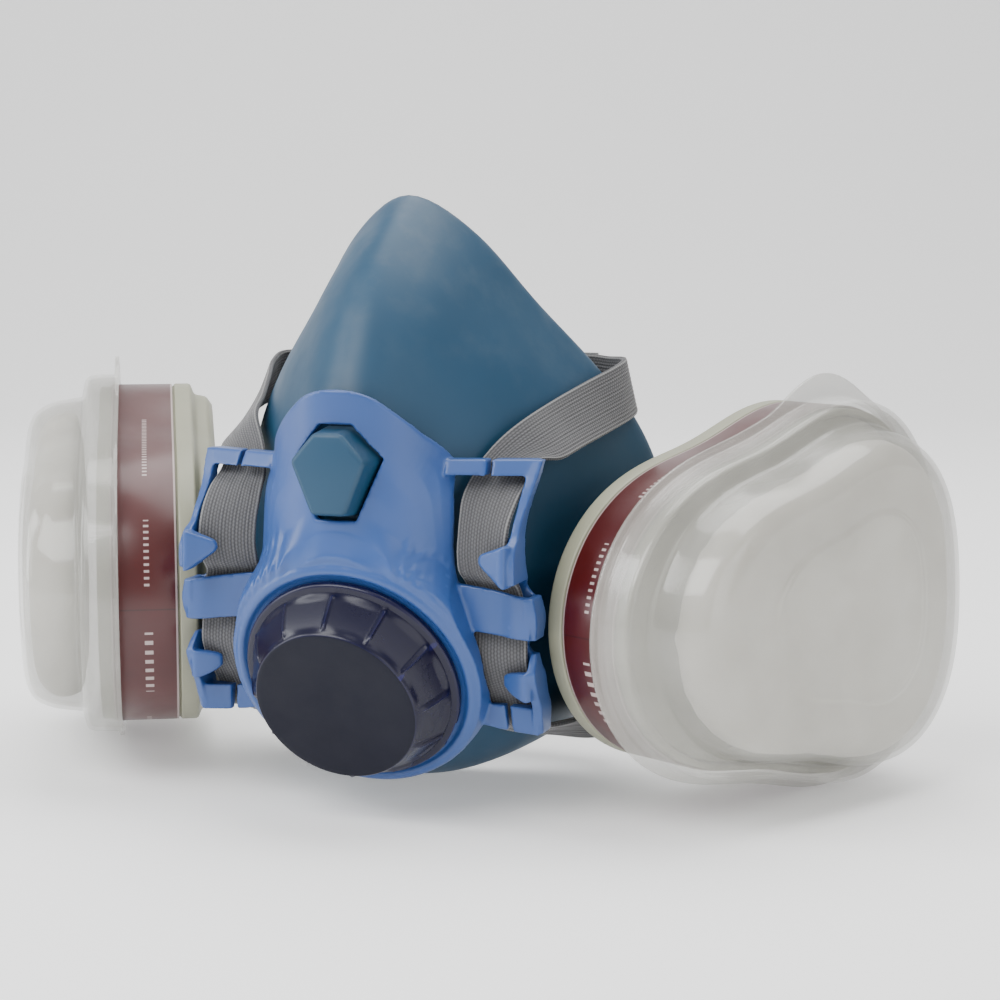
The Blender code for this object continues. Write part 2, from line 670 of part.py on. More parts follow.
def build_cartridge(side, frame, finishes):
    name = "left" if side > 0 else "right"
    # The housing is a cup: its outer side runs from the base up, and its inner side back down.
    wall = HOUSING_WALL
    rim, label_seat = 3.9, 4.6
    side_wall = ((rim, 5.4), (rim, 9.4), (label_seat, 9.6), (label_seat, HOUSING_DEPTH))
    outer = ((9.5, 0.0), (7.4, 1.4), (6.8, 4.4)) + side_wall
    inner = ((label_seat + wall, HOUSING_DEPTH), (label_seat + wall, 8.0), (8.6, 5.8), (9.4, 2.4))
    rings = [outline_ring(side, *step) for step in outer + inner]
    cup = mesh_from("housing", *loft(rings, True, True))
    housing = add_object(f"cartridge_housing_{name}", cup, finishes["housing"], frame)
    boolean(housing, "DIFFERENCE", tool(f"socket_{name}", cylinder_mesh("socket", 13.0, -2.0, 4.0), frame))
    for i in range(LUGS):
        notch = box_mesh("notch", (8.0, -5.0, -2.0), (16.2, 5.0, 4.0))
        turn = 2 * math.pi * i / LUGS - NOTCH_TURN
        boolean(housing, "DIFFERENCE", tool(f"notch_{name}_{i}", notch, frame, turn=turn))

    seat = label_seat + wall + 0.4
    band = ((4.0, 10.0), (4.0, 25.0), (4.3, 25.0), (4.3, 10.0))
    outline_band(f"cartridge_label_{name}", side, band, finishes["label"], frame)

    def layer(part, inset, low, high, finish):
        return outline_solid(f"{part}_{name}", side, ((inset, low), (inset, high)), finishes[finish], frame)

    layer("inner_screen", seat + 3.0, 6.4, 7.4, "screen")
    layer("carbon_bed", seat, 8.4, 23.0, "carbon")
    layer("outer_screen", seat, 23.4, 24.4, "screen")
    lid = layer("cartridge_lid", seat, 25.0, 26.6, "housing")
    for i in range(-3, 4):
        slot = box_mesh("lid_slot", (-26.0, -1.6, 20.0), (26.0, 1.6, 30.0))
        where = (side * (BAYONET_OFFSET + 3.0), i * 9.0, 0.0)
        boolean(lid, "DIFFERENCE", tool(f"lid_slot_{name}_{i + 3}", slot, frame, where=where))


def build_retainer(side, frame, finishes):
    """The clear retainer: a flange and collar round the housing, and a cup that holds the pad."""
    name = "left" if side > 0 else "right"
    low = RETAINER_LEVEL
    profile = (
        (0.0, low + 1.1), (2.0, low + 1.3), (2.4, low + 8.8), (8.0, low + 9.8), (9.2, low + 17.5),
        (11.4, low + 21.6), (15.0, low + 23.2), (26.0, low + 23.5),
    )  # fmt: skip
    rings = [outline_ring(side, *step) for step in profile]
    tab = []
    for x, y, level in rings[0]:
        arm = Vector((x - side * BAYONET_OFFSET, y, 0.0))
        angle = math.degrees(math.atan2(arm.y, side * arm.x))
        lift = TAB_LIFT * smooth_step(1 - abs(angle - TAB_ANGLE) / TAB_SPREAD)
        tab.append(Vector((x, y, level)) + arm.normalized() * lift)
    rings[0] = tab
    mesh = mesh_from("retainer", *loft(rings, cap_last=True), sheet=True)
    obj = add_object(f"filter_retainer_{name}", mesh, finishes["retainer"], frame)
    solidify(obj, RETAINER_WALL)

    foot, top = low + 11.0, low + 20.6
    pad = ((11.4, foot), (10.6, foot + 1.0), (10.8, top - 4.0), (13.0, top - 1.2), (17.0, top))
    outline_solid(f"particulate_pad_{name}", side, pad, finishes["pad"], frame)


# ---------------------------------------------------------------- straps and clips


# (centre, width direction) of the taut runs from the ladder round the edge of the mask.
UPPER_RUN = (
    ((38.6, 77.0, 14.6), (-0.1, 0.05, 0.99)),
    ((44.6, 72.2, 14.8), (-0.2, 0.0, 0.95)),
    ((45.0, 65.0, 13.4), (-0.33, -0.05, 0.92)),
    ((42.3, 55.0, 11.0), (-0.5, -0.1, 0.85)),
    ((39.0, 43.0, 8.1), (-0.65, -0.15, 0.72)),
    ((36.2, 31.8, 5.2), (-0.8, -0.2, 0.6)),
)
LOWER_RUN = (
    ((36.2, 31.0, -58.2), (-0.92, -0.2, -0.15)),
    ((41.0, 43.5, -59.6), (-0.84, 0.0, -0.5)),
    ((44.4, 58.0, -61.4), (-0.62, 0.0, -0.8)),
    ((45.2, 72.0, -61.4), (-0.5, 0.0, -0.86)),
    ((43.8, 79.8, -60.4), (-0.3, 0.0, -0.95)),
    ((38.0, 85.6, -59.4), (0.0, 0.1, -0.99)),
)


def loop_stations(back, level, width):
    """A strap's end: out behind a bar of the cradle or the clasp and back in front of it."""
    path = (
        (34.0, LOOP_GAP), (CLIP_BAR_X + 1.6, LOOP_GAP), (CLIP_BAR_X - 1.4, LOOP_GAP), (CLIP_BAR_X - 2.8, 0.0),
        (CLIP_BAR_X - 1.4, -LOOP_GAP), (CLIP_BAR_X + 1.6, -LOOP_GAP), (32.0, -LOOP_GAP),
    )  # fmt: skip
    return [((x, back + y, level), (0.0, 0.0, width)) for x, y in path]


# (height, distance from the middle, depth, slope) of the strap's middle as it weaves down the ladder.
STRAP_TRACK = (
    (1.4, 31.6, 24.5, 0.34), (-2.4, 30.3, 21.4, 0.27),
    (-6.0, 29.9, 16.4, 0.0), (-9.8, 29.8, 13.3, -0.22), (-13.4, 29.8, 11.7, -0.3),
    (-17.4, 29.8, 11.2, -0.28), (-21.2, 29.9, 12.6, -0.2), (-24.4, 30.6, 15.9, -0.13),
    (-28.6, 31.6, 16.4, -0.12), (-32.5, 32.0, 16.5, -0.12), (-36.5, 32.1, 16.1, -0.05),
    (-40.5, 32.2, 15.8, 0.0), (-44.8, 32.2, 18.0, 0.0), (-48.6, 32.2, 21.2, 0.04),
    (-52.2, 32.2, 23.8, 0.06), (-56.4, 32.4, 25.4, 0.08),
)  # fmt: skip


def strap_stations(side):
    """(centre, width direction) along a strap, from the head cradle, down the ladder, to the neck."""
    cradle = loop_stations(CRADLE_BACK, CRADLE_LEVEL, 1.0)
    neck = loop_stations(NECK_BACK, NECK_LEVEL, -1.0)[::-1]
    ladder = [((x, y, z), (-1.0, -slope, 0.0)) for z, x, y, slope in STRAP_TRACK]
    stations = cradle + list(UPPER_RUN) + ladder + list(LOWER_RUN) + neck
    return [(mirrored(p, side), mirrored(Vector(w).normalized(), side)) for p, w in stations]


def build_strap(side, root, finish):
    name = "left" if side > 0 else "right"
    stations = strap_stations(side)
    centres = [p for p, _ in stations]
    widths = [w for _, w in stations]
    count = 2 * (len(stations) - 1)
    left_edge, right_edge = [], []
    for i in range(count + 1):
        centre = spline(centres, i / count)
        width = spline(widths, i / count).normalized() * (STRAP_WIDTH / 2)
        left_edge.append(centre + width)
        right_edge.append(centre - width)
    points = left_edge + right_edge
    faces = [(i, i + 1, count + 2 + i, count + 1 + i) for i in range(count)]
    obj = add_object(f"strap_{name}", mesh_from(f"strap_{name}", points, faces), finish, root)
    solidify(obj, STRAP_THICKNESS, offset=0.0)
    return obj


def build_clips(root, finishes):
    """The head cradle and the two halves of the neck clasp. Each holds a strap's loop on an end bar."""
    half = STRAP_WIDTH / 2 + 1.0
    bar = 1.0
    outer = CLIP_BAR_X + bar

    def block(name, x0, x1, thickness, tall):
        """A box across a clip's plane, which is the cradle's or the neck clasp's, as its name says."""
        back, level = (CRADLE_BACK, CRADLE_LEVEL) if "cradle" in name else (NECK_BACK, NECK_LEVEL)
        low = (x0, back - thickness / 2, level - tall)
        high = (x1, back + thickness / 2, level + tall)
        return box_mesh(name, low, high)

    def plate(name, x0, x1):
        return add_object(name, block(name, x0, x1, 2.0, half + 2.5), finishes["clip"], root)

    def window(name, x0, x1):
        return tool(name, block(name, x0, x1, 8.0, half), root)

    near, far = CLIP_BAR_X - bar, CLIP_BAR_X - 5.0
    cradle = plate("head_cradle", -outer, outer)
    cuts = (window("cradle_window_left", far, near), window("cradle_window_right", -near, -far))
    boolean(cradle, "DIFFERENCE", *cuts)

    socket = plate("neck_clasp_socket", -outer, 4.0)
    mouth = tool("clasp_mouth", block("clasp_mouth", -7.0, 5.0, 1.0, 4.3), root)
    boolean(socket, "DIFFERENCE", window("clasp_socket_window", -near, -far), mouth)

    plug = plate("neck_clasp_plug", 4.4, outer)
    boolean(plug, "DIFFERENCE", window("clasp_plug_window", far, near))
    boolean(plug, "UNION", tool("clasp_tongue", block("clasp_tongue", -6.4, 5.4, 0.4, 4.0), root))


# ---------------------------------------------------------------- assembly


def build():
    root = empty("respirator", None, Matrix.Translation(Vector((0.0, DATUM_BACK, DATUM_UP)) * MM))
    valve = empty("valve_axis", root, valve_frame())
    sides = {1: "left", -1: "right"}
    frames = {}
    for side, name in sides.items():
        frames[side] = empty(f"bayonet_axis_{name}", root, cartridge_frame(side))
    finishes = {
        "silicone": material("teal_silicone", (0.035, 0.115, 0.165), 0.45),
        "yoke": material("blue_nylon", (0.12, 0.25, 0.60), 0.35),
        "cover": material("navy_plastic", (0.012, 0.014, 0.06), 0.25),
        "seat": material("dark_plastic", (0.03, 0.03, 0.035), 0.5),
        "flap": material("flap_silicone", (0.75, 0.74, 0.68), 0.5),
        "port": material("port_plastic", (0.06, 0.07, 0.09), 0.45),
        "gasket": material("gasket_rubber", (0.02, 0.02, 0.02), 0.7),
        "housing": material("sage_plastic", (0.42, 0.42, 0.34), 0.45),
        "label": material("brown_label", (0.15, 0.012, 0.01), 0.4),
        "screen": material("fibre_screen", (0.8, 0.79, 0.75), 0.9),
        "carbon": material("carbon_granules", (0.012, 0.012, 0.012), 0.85),
        "retainer": material("clear_retainer", (0.75, 0.75, 0.72), 0.2, alpha=0.35),
        "pad": material("particulate_felt", (0.82, 0.8, 0.77), 0.95),
        "strap": material("grey_elastic", (0.18, 0.18, 0.18), 0.9),
        "clip": material("clip_plastic", (0.05, 0.055, 0.06), 0.4),
    }
    build_facepiece(root, finishes["silicone"], frames)
    build_yoke(root, finishes["yoke"])
    build_valve(valve, finishes)
    for side, frame in frames.items():
        build_port(side, frame, finishes)
        build_cartridge(side, frame, finishes)
        build_retainer(side, frame, finishes)
        build_strap(side, root, finishes["strap"])
    build_clips(root, finishes)


def shade(objects):
    """Bakes each object's modifiers into its mesh, and shades it smooth between its sharp corners."""
    graph = bpy.context.evaluated_depsgraph_get()
    baked = {obj: bpy.data.meshes.new_from_object(obj.evaluated_get(graph)) for obj in objects}
    for obj, mesh in baked.items():
        obj.modifiers.clear()
        obj.data = mesh
        mesh.shade_smooth()
        mesh.set_sharp_from_angle(angle=SHARP_CORNER)


clear_scene()
PART = collection("respirator")
CUTTERS = collection("cutters")
build()
shade([obj for obj in PART.objects if obj.type == "MESH"])
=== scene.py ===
"""Looks of the half mask respirator: fine meshes, procedural materials, floor, light and camera.

Lengths are in millimetres until they become a mesh. Their origin is 2 mm behind the front of the
facepiece's hexagonal stud.
Each cartridge and the exhalation valve have a local frame whose Z points out of the mask.
"""

import math

import bmesh
import bpy
from mathutils import Matrix, Vector


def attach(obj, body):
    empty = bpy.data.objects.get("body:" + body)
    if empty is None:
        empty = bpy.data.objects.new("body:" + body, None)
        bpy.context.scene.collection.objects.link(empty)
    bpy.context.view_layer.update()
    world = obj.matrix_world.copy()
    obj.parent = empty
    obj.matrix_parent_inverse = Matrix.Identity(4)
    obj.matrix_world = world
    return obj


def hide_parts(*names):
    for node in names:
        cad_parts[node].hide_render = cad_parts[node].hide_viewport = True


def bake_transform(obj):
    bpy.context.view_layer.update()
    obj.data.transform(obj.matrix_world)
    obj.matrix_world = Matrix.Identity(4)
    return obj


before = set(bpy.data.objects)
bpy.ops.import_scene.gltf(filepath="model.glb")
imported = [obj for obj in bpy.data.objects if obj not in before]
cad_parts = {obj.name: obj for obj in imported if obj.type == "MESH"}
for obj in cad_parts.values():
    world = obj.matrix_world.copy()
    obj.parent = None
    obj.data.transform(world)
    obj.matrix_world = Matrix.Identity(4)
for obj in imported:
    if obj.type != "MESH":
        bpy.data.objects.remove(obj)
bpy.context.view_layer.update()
SIDES = {1: "left", -1: "right"}

MM = 0.001
DATUM = Vector((0.0, -52.85, 77.92))

YOKE_THICKNESS = 2.0
YOKE_FRONT = 2.2
YOKE_CURVE = 25.0
BROW_TIGHTER = 3.4
VALVE_CENTRE = Vector((0.0, 12.5, -45.6))
VALVE_TILT = math.radians(23.0)
BEZEL_RADIUS = 29.0
BEZEL_BLEND = 36.0
YOKE_HOLE = 20.6
COVER_RADIUS = 24.7
COVER_FACE = 18.4
COVER_HEIGHT = 12.2
COVER_RIBS = 12

SKIN = 1.8
SKIN_GAP = 0.85
EDGE_GAP = 0.9
SEAT_HOLE = 18.6
SEAT_FLAT = 20.6
BOSS_RADIUS = 21.5
BOSS_DEPTH = 11.0
SPOT_FACE_RADIUS = 19.6
PORT_BORE = 14.2
STUD_OUTLINE = ((-3.5, 9.7), (3.5, 9.7), (9.5, 2.9), (4.3, -9.6), (-4.3, -9.6), (-9.5, 2.9))
STUD_TOP = -2.0
STUD_TAPER = 0.9
STUD_ROOT = 3.4
BULGE = 5.3
BULGE_SHAPE = 1.4

STRAP_WIDTH = 12.7
STRAP_THICKNESS = 1.2
STRAP_CORDS = 12
CORD_PITCH = 0.74
PICK_PITCH = 0.82
LADDER_TOP = 2.2
LADDER_FOOT = -57.5
SKIRT_FADE = 6.0

OUTLINE_RADIUS = 50.6
OUTLINE_WAVES = ((2, 0.125), (3, -0.085), (4, -0.02))
OUTLINE_STEPS = 160
EVEN_INSET = 2.4
CARTRIDGE_TURN = math.radians(62.0)
CARTRIDGE_ROLL = math.radians(3.0)
RETAINER_CENTRE = Vector((82.5, 61.5, -32.5))
RETAINER_LEVEL = 22.0
BAYONET_OFFSET = 19.0
PORT_LEVEL = -4.4
HOUSING_DEPTH = 28.0
HOUSING_WALL = 1.6
RETAINER_WALL = 1.0
TAB_ANGLE = 72.0
TAB_SPREAD = 22.0
TAB_LIFT = 4.0
LUGS = 3
NOTCH_TURN = math.radians(40.0)

CLIP_BAR_X = 15.0
LOOP_GAP = 2.0
CRADLE_LEVEL = 15.0
NECK_LEVEL = -58.0
CRADLE_BACK = 80.0
NECK_BACK = 88.0
ROUND = 96

FINE_VOXEL = 0.34
PAD_VOXEL = 1.9
SWELL_FRAMES = 20
SWELL_LIMIT = 0.45

CAMERA_PLACE = Vector((185.0, -422.5, 54.4))
CAMERA_AZIMUTH = math.radians(19.21)
CAMERA_ELEVATION = math.radians(7.42)
CAMERA_LENS = 79.33


# ---- meshes


def mesh_from(name, points, faces, place=None):
    """A mesh in metres from design points in millimetres, or from points of a local frame."""
    mesh = bpy.data.meshes.new(name)
    if place is None:
        placed = [(Vector(p) + DATUM) * MM for p in points]
    else:
        placed = [place @ (Vector(p) * MM) for p in points]
    mesh.from_pydata(placed, [], faces)
    return mesh


def face_out(mesh):
    bm = bmesh.new()
    bm.from_mesh(mesh)
    bmesh.ops.recalc_face_normals(bm, faces=bm.faces)
    bm.to_mesh(mesh)
    bm.free()


def add(name, mesh):
    obj = bpy.data.objects.new(name, mesh)
    bpy.context.scene.collection.objects.link(obj)
    return obj


def bake(obj):
    """Applies an object's modifiers."""
    graph = bpy.context.evaluated_depsgraph_get()
    obj.data = bpy.data.meshes.new_from_object(obj.evaluated_get(graph))
    obj.modifiers.clear()
    return obj


def discard(obj):
    bpy.data.objects.remove(obj, do_unlink=True)


def boolean(obj, operation, *others):
    for other in others:
        modifier = obj.modifiers.new("boolean", "BOOLEAN")
        modifier.operation = operation
        modifier.solver = "EXACT"
        modifier.object = other
    bake(obj)
    for other in others:
        discard(other)
    return obj


def bevel(obj, width, segments=3, angle=35.0):
    modifier = obj.modifiers.new("rounding", "BEVEL")
    modifier.width = width * MM
    modifier.segments = segments
    modifier.limit_method = "ANGLE"
    modifier.angle_limit = math.radians(angle)
    return obj


def solidify(obj, thickness):
    modifier = obj.modifiers.new("thickness", "SOLIDIFY")
    modifier.thickness = thickness * MM
    modifier.offset = -1.0
    modifier.use_even_offset = False
    return obj


def subdivide(obj, levels):
    modifier = obj.modifiers.new("subdivision", "SUBSURF")
    modifier.levels = levels
    modifier.render_levels = levels
    return obj


def join(objects, name):
    """One mesh of several overlapping ones."""
    bm = bmesh.new()
    for obj in objects:
        bm.from_mesh(obj.data)
        discard(obj)
    mesh = bpy.data.meshes.new(name)
    bm.to_mesh(mesh)
    bm.free()
    return add(name, mesh)


def remesh(obj, voxel, smoothing):
    """Fuses overlapping shells and rounds every corner, the way a moulding comes out of its tool."""
    modifier = obj.modifiers.new("fuse", "REMESH")
    modifier.mode = "VOXEL"
    modifier.voxel_size = voxel * MM
    modifier.use_smooth_shade = True
    soften = obj.modifiers.new("soften", "SMOOTH")
    soften.factor = 0.5
    soften.iterations = smoothing
    return bake(obj)


def smooth(obj, angle=40.0):
    obj.data.shade_smooth()
    obj.data.set_sharp_from_angle(angle=math.radians(angle))
    return obj


def loft(rings, cap_first=False, cap_last=False, join_ends=False):
    count = len(rings[0])
    points = [p for ring in rings for p in ring]
    pairs = [(i, i + 1) for i in range(len(rings) - 1)]
    if join_ends:
        pairs.append((len(rings) - 1, 0))
    faces = []
    for a, b in pairs:
        for j in range(count):
            k = (j + 1) % count
            faces.append((a * count + j, a * count + k, b * count + k, b * count + j))
    if cap_first:
        faces.append(tuple(range(count)))
    if cap_last:
        start = (len(rings) - 1) * count
        faces.append(tuple(start + j for j in range(count)))
    return points, faces


def closed_mesh(name, rings, place=None, hoop=False):
    """A solid through its rings: capped at both ends, or joined into a hoop."""
    mesh = mesh_from(name, *loft(rings, not hoop, not hoop, hoop), place=place)
    face_out(mesh)
    return mesh


def prism(name, outline, low, high):
    rings = [[(x, y, z) for x, z in outline] for y in (low, high)]
    return add(name, closed_mesh(name, rings))


def circle(radius, level, steps=ROUND):
    ring = []
    for i in range(steps):
        angle = 2 * math.pi * i / steps
        ring.append((radius * math.cos(angle), radius * math.sin(angle), level))
    return ring


def rounded(profile, radii, steps=5, closed=False):
    """A profile with its corners turned into arcs."""
    count = len(profile)
    made = []
    for i in range(count):
        here = Vector(profile[i])
        if not closed and i in (0, count - 1):
            made.append(tuple(here))
            continue
        before, after = Vector(profile[i - 1]), Vector(profile[(i + 1) % count])
        radius = radii[i] if isinstance(radii, (list, tuple)) else radii
        reach = min(radius, (before - here).length * 0.45, (after - here).length * 0.45)
        start = here + (before - here).normalized() * reach
        end = here + (after - here).normalized() * reach
        for k in range(steps + 1):
            f = k / steps
            made.append(tuple(start * (1 - f) ** 2 + here * (2 * f * (1 - f)) + end * f**2))
    return made


def turned(name, profile, place, radius=0.25, steps=ROUND):
    """A closed loop of (radius, height) turned about a local frame's Z axis."""
    loop = rounded(profile, radius, steps=3, closed=True)
    rings = [circle(r, h, steps) for r, h in loop]
    return add(name, closed_mesh(name, rings, place, hoop=True))


def disc(name, profile, place, radius=0.25, steps=ROUND):
    """A solid turned about a local frame's Z axis: both ends of its profile are near the axis."""
    rings = [circle(max(r, 0.05), h, steps) for r, h in rounded(profile, radius, steps=3)]
    return add(name, closed_mesh(name, rings, place))


def block(name, low, high, place, turn=0.0, shift=(0.0, 0.0, 0.0)):
    corners = ((low[0], low[1]), (high[0], low[1]), (high[0], high[1]), (low[0], high[1]))
    rings = [[(x, y, z) for x, y in corners] for z in (low[2], high[2])]
    local = place @ Matrix.Translation(Vector(shift) * MM) @ Matrix.Rotation(turn, 4, "Z")
    return add(name, closed_mesh(name, rings, local))


def cylinder(name, radius, low, high, place, steps=ROUND):
    return add(name, closed_mesh(name, [circle(radius, low, steps), circle(radius, high, steps)], place))


# ---- surfaces


def smooth_step(x):
    x = min(max(x, 0.0), 1.0)
    return x * x * (3 - 2 * x)


def beyond_end(end, inner, mirrored_ends):
    return Vector((-inner.x, *inner[1:])) if mirrored_ends else end * 2 - inner


def spline(stations, t, mirrored_ends=False):
    last = len(stations) - 1
    place = min(max(t, 0.0), 1.0) * last
    i = min(int(place), last - 1)
    f = place - i
    p1, p2 = Vector(stations[i]), Vector(stations[i + 1])
    p0 = Vector(stations[i - 1]) if i > 0 else beyond_end(p1, p2, mirrored_ends)
    p3 = Vector(stations[i + 2]) if i < last - 1 else beyond_end(p2, p1, mirrored_ends)
    square = 2 * p0 - 5 * p1 + 4 * p2 - p3
    cube = 3 * p1 - p0 - 3 * p2 + p3
    return 0.5 * (2 * p1 + (p2 - p0) * f + square * f**2 + cube * f**3)


def half_outline(stations, t):
    return spline(stations, t, mirrored_ends=True)


def valve_frame():
    out = Vector((0.0, -math.cos(VALVE_TILT), -math.sin(VALVE_TILT)))
    across = Vector((1.0, 0.0, 0.0))
    up = out.cross(across)
    turn = Matrix((across, up, out)).transposed().to_4x4()
    return Matrix.Translation((VALVE_CENTRE + DATUM) * MM) @ turn


def yoke_depth(x, z):
    radius = YOKE_CURVE + max(0.0, -z) / 7 - BROW_TIGHTER * smooth_step((z + 8.0) / 12.0)
    side = min(abs(x), radius * 0.97)
    barrel = YOKE_FRONT + radius - math.sqrt(radius**2 - side**2)
    plane = VALVE_CENTRE.y - (z - VALVE_CENTRE.z) * math.tan(VALVE_TILT)
    reach = math.hypot(x, (z - VALVE_CENTRE.z) / math.cos(VALVE_TILT))
    share = smooth_step((BEZEL_BLEND - reach) / (BEZEL_BLEND - BEZEL_RADIUS))
    return barrel + (plane - barrel) * share


def yoke_point(x, z, behind=0.0):
    step = 0.2
    slope_x = (yoke_depth(x + step, z) - yoke_depth(x - step, z)) / (2 * step)
    slope_z = (yoke_depth(x, z + step) - yoke_depth(x, z - step)) / (2 * step)
    back = Vector((-slope_x, 1.0, -slope_z)).normalized()
    return Vector((x, yoke_depth(x, z), z)) + back * behind


YOKE_HALF = (
    (0.0, 17.6), (6.6, 16.4), (11.6, 12.9), (16.4, 8.2), (20.6, 2.4), (21.9, -8.0),
    (22.4, -20.5), (25.6, -32.0), (28.5, -41.0), (28.4, -50.0), (24.8, -58.5), (18.2, -65.4),
    (9.5, -69.6), (0.0, -70.9),
)
FRONT_HALF = (
    (0.0, 14.0), (6.0, 13.2), (10.6, 10.0), (13.4, 4.6), (14.2, -3.0), (14.5, -12.0),
    (15.4, -22.0), (18.2, -32.5), (20.0, -41.0), (21.3, -49.5), (18.6, -57.5), (13.4, -62.6),
    (7.0, -65.6), (0.0, -66.5),
)
RIM_HALF = (
    (0.0, 45.0, 59.0), (14.5, 49.7, 50.2), (26.5, 57.0, 34.5), (37.5, 64.0, 21.0), (46.0, 69.3, 8.5),
    (51.0, 73.5, -4.0), (53.6, 76.8, -19.0), (53.5, 78.4, -33.0), (51.0, 78.4, -43.0), (46.0, 76.8, -52.5),
    (37.5, 73.8, -61.5), (26.0, 68.8, -68.2), (13.0, 64.0, -72.8), (0.0, 62.0, -74.0),
)


def around(count):
    left = [(1, i / count) for i in range(count + 1)]
    right = [(-1, i / count) for i in range(count - 1, 0, -1)]
    return left + right


def mirrored(point, side):
    return Vector((point[0] * side, *point[1:]))


def seat_ring_point(outline, t, radius, level):
    edge = half_outline(outline, t)
    angle = math.atan2(edge.x, (edge.y - VALVE_CENTRE.z) / math.cos(VALVE_TILT))
    local = Vector((radius * math.sin(angle), radius * math.cos(angle), level))
    return valve_frame().to_3x3() @ local + VALVE_CENTRE


def front_edge(t):
    return yoke_point(*half_outline(FRONT_HALF, t), YOKE_THICKNESS + SKIN_GAP + EDGE_GAP)


def front_middle(t):
    flat, edge = seat_ring_point(FRONT_HALF, t, SEAT_FLAT, 0.0), half_outline(FRONT_HALF, t)
    depth = YOKE_THICKNESS + SKIN_GAP + EDGE_GAP / 2
    return yoke_point((flat.x + edge.x) / 2, (flat.z + edge.y) / 2, depth)


def cheek_point(t, share):
    front, rim = front_edge(t), half_outline(RIM_HALF, t)
    middle = Vector((0.0, 0.0, -15.0))
    along = rim - front
    out = (front + rim) / 2 - middle
    out.y = 0.0
    out -= along * (out.dot(along) / along.length_squared)
    swell = BULGE * max(4 * share * (1 - share), 0.0) ** BULGE_SHAPE
    return front + along * share + out.normalized() * swell


def rim_out(t):
    step = 0.01
    along = half_outline(RIM_HALF, min(t + step, 1.0)) - half_outline(RIM_HALF, max(t - step, 0.0))
    back = Vector((0.0, 1.0, 0.0))
    return back.cross(along).normalized() * -1.0


SEAL_STEPS = ((2.2, 0.6), (3.6, 2.6), (3.8, 5.4), (2.6, 9.0), (0.6, 12.5))


def seal_point(t, back, inward):
    rim = half_outline(RIM_HALF, t)
    return rim + Vector((0.0, back, 0.0)) - rim_out(t) * inward


def cartridge_frame(side):
    b, roll = CARTRIDGE_TURN, CARTRIDGE_ROLL
    out = Vector((side * math.sin(b), -math.cos(b), 0.0))
    back = Vector((side * math.cos(b), math.sin(b), 0.0))
    up = Vector((0.0, 0.0, 1.0))
    u = back * math.cos(roll) + up * math.sin(roll)
    v = up * math.cos(roll) - back * math.sin(roll)
    centre = Vector((RETAINER_CENTRE.x * side, RETAINER_CENTRE.y, RETAINER_CENTRE.z))
    origin = centre - out * RETAINER_LEVEL - u * BAYONET_OFFSET
    turn = Matrix((u * side, v, out)).transposed().to_4x4()
    return Matrix.Translation((origin + DATUM) * MM) @ turn


def outline_radius(angle, inset):
    wave = sum(share * math.cos(k * angle) for k, share in OUTLINE_WAVES)
    even = min(inset, EVEN_INSET)
    shrink = (inset - even) / (OUTLINE_RADIUS - EVEN_INSET)
    return (OUTLINE_RADIUS * (1 + wave) - even) * (1 - shrink)


def outline_ring(side, inset, level):
    ring = []
    for i in range(OUTLINE_STEPS):
        angle = side * 2 * math.pi * i / OUTLINE_STEPS
        radius = outline_radius(angle, inset)
        ring.append((side * (radius * math.cos(angle) + BAYONET_OFFSET), radius * math.sin(angle), level))
    return ring


def outline_solid(name, side, profile, place):
    rings = [outline_ring(side, inset, level) for inset, level in profile]
    return add(name, closed_mesh(name, rings, place))


# ---- materials


CONTRAST = 1.22


def linear(*srgb):
    """A screen colour as linear light, deepened a little because the view transform pales it."""
    made = []
    for value in srgb:
        value /= 255.0
        made.append((value / 12.92 if value <= 0.04045 else ((value + 0.055) / 1.055) ** 2.4) ** CONTRAST)
    return tuple(made)


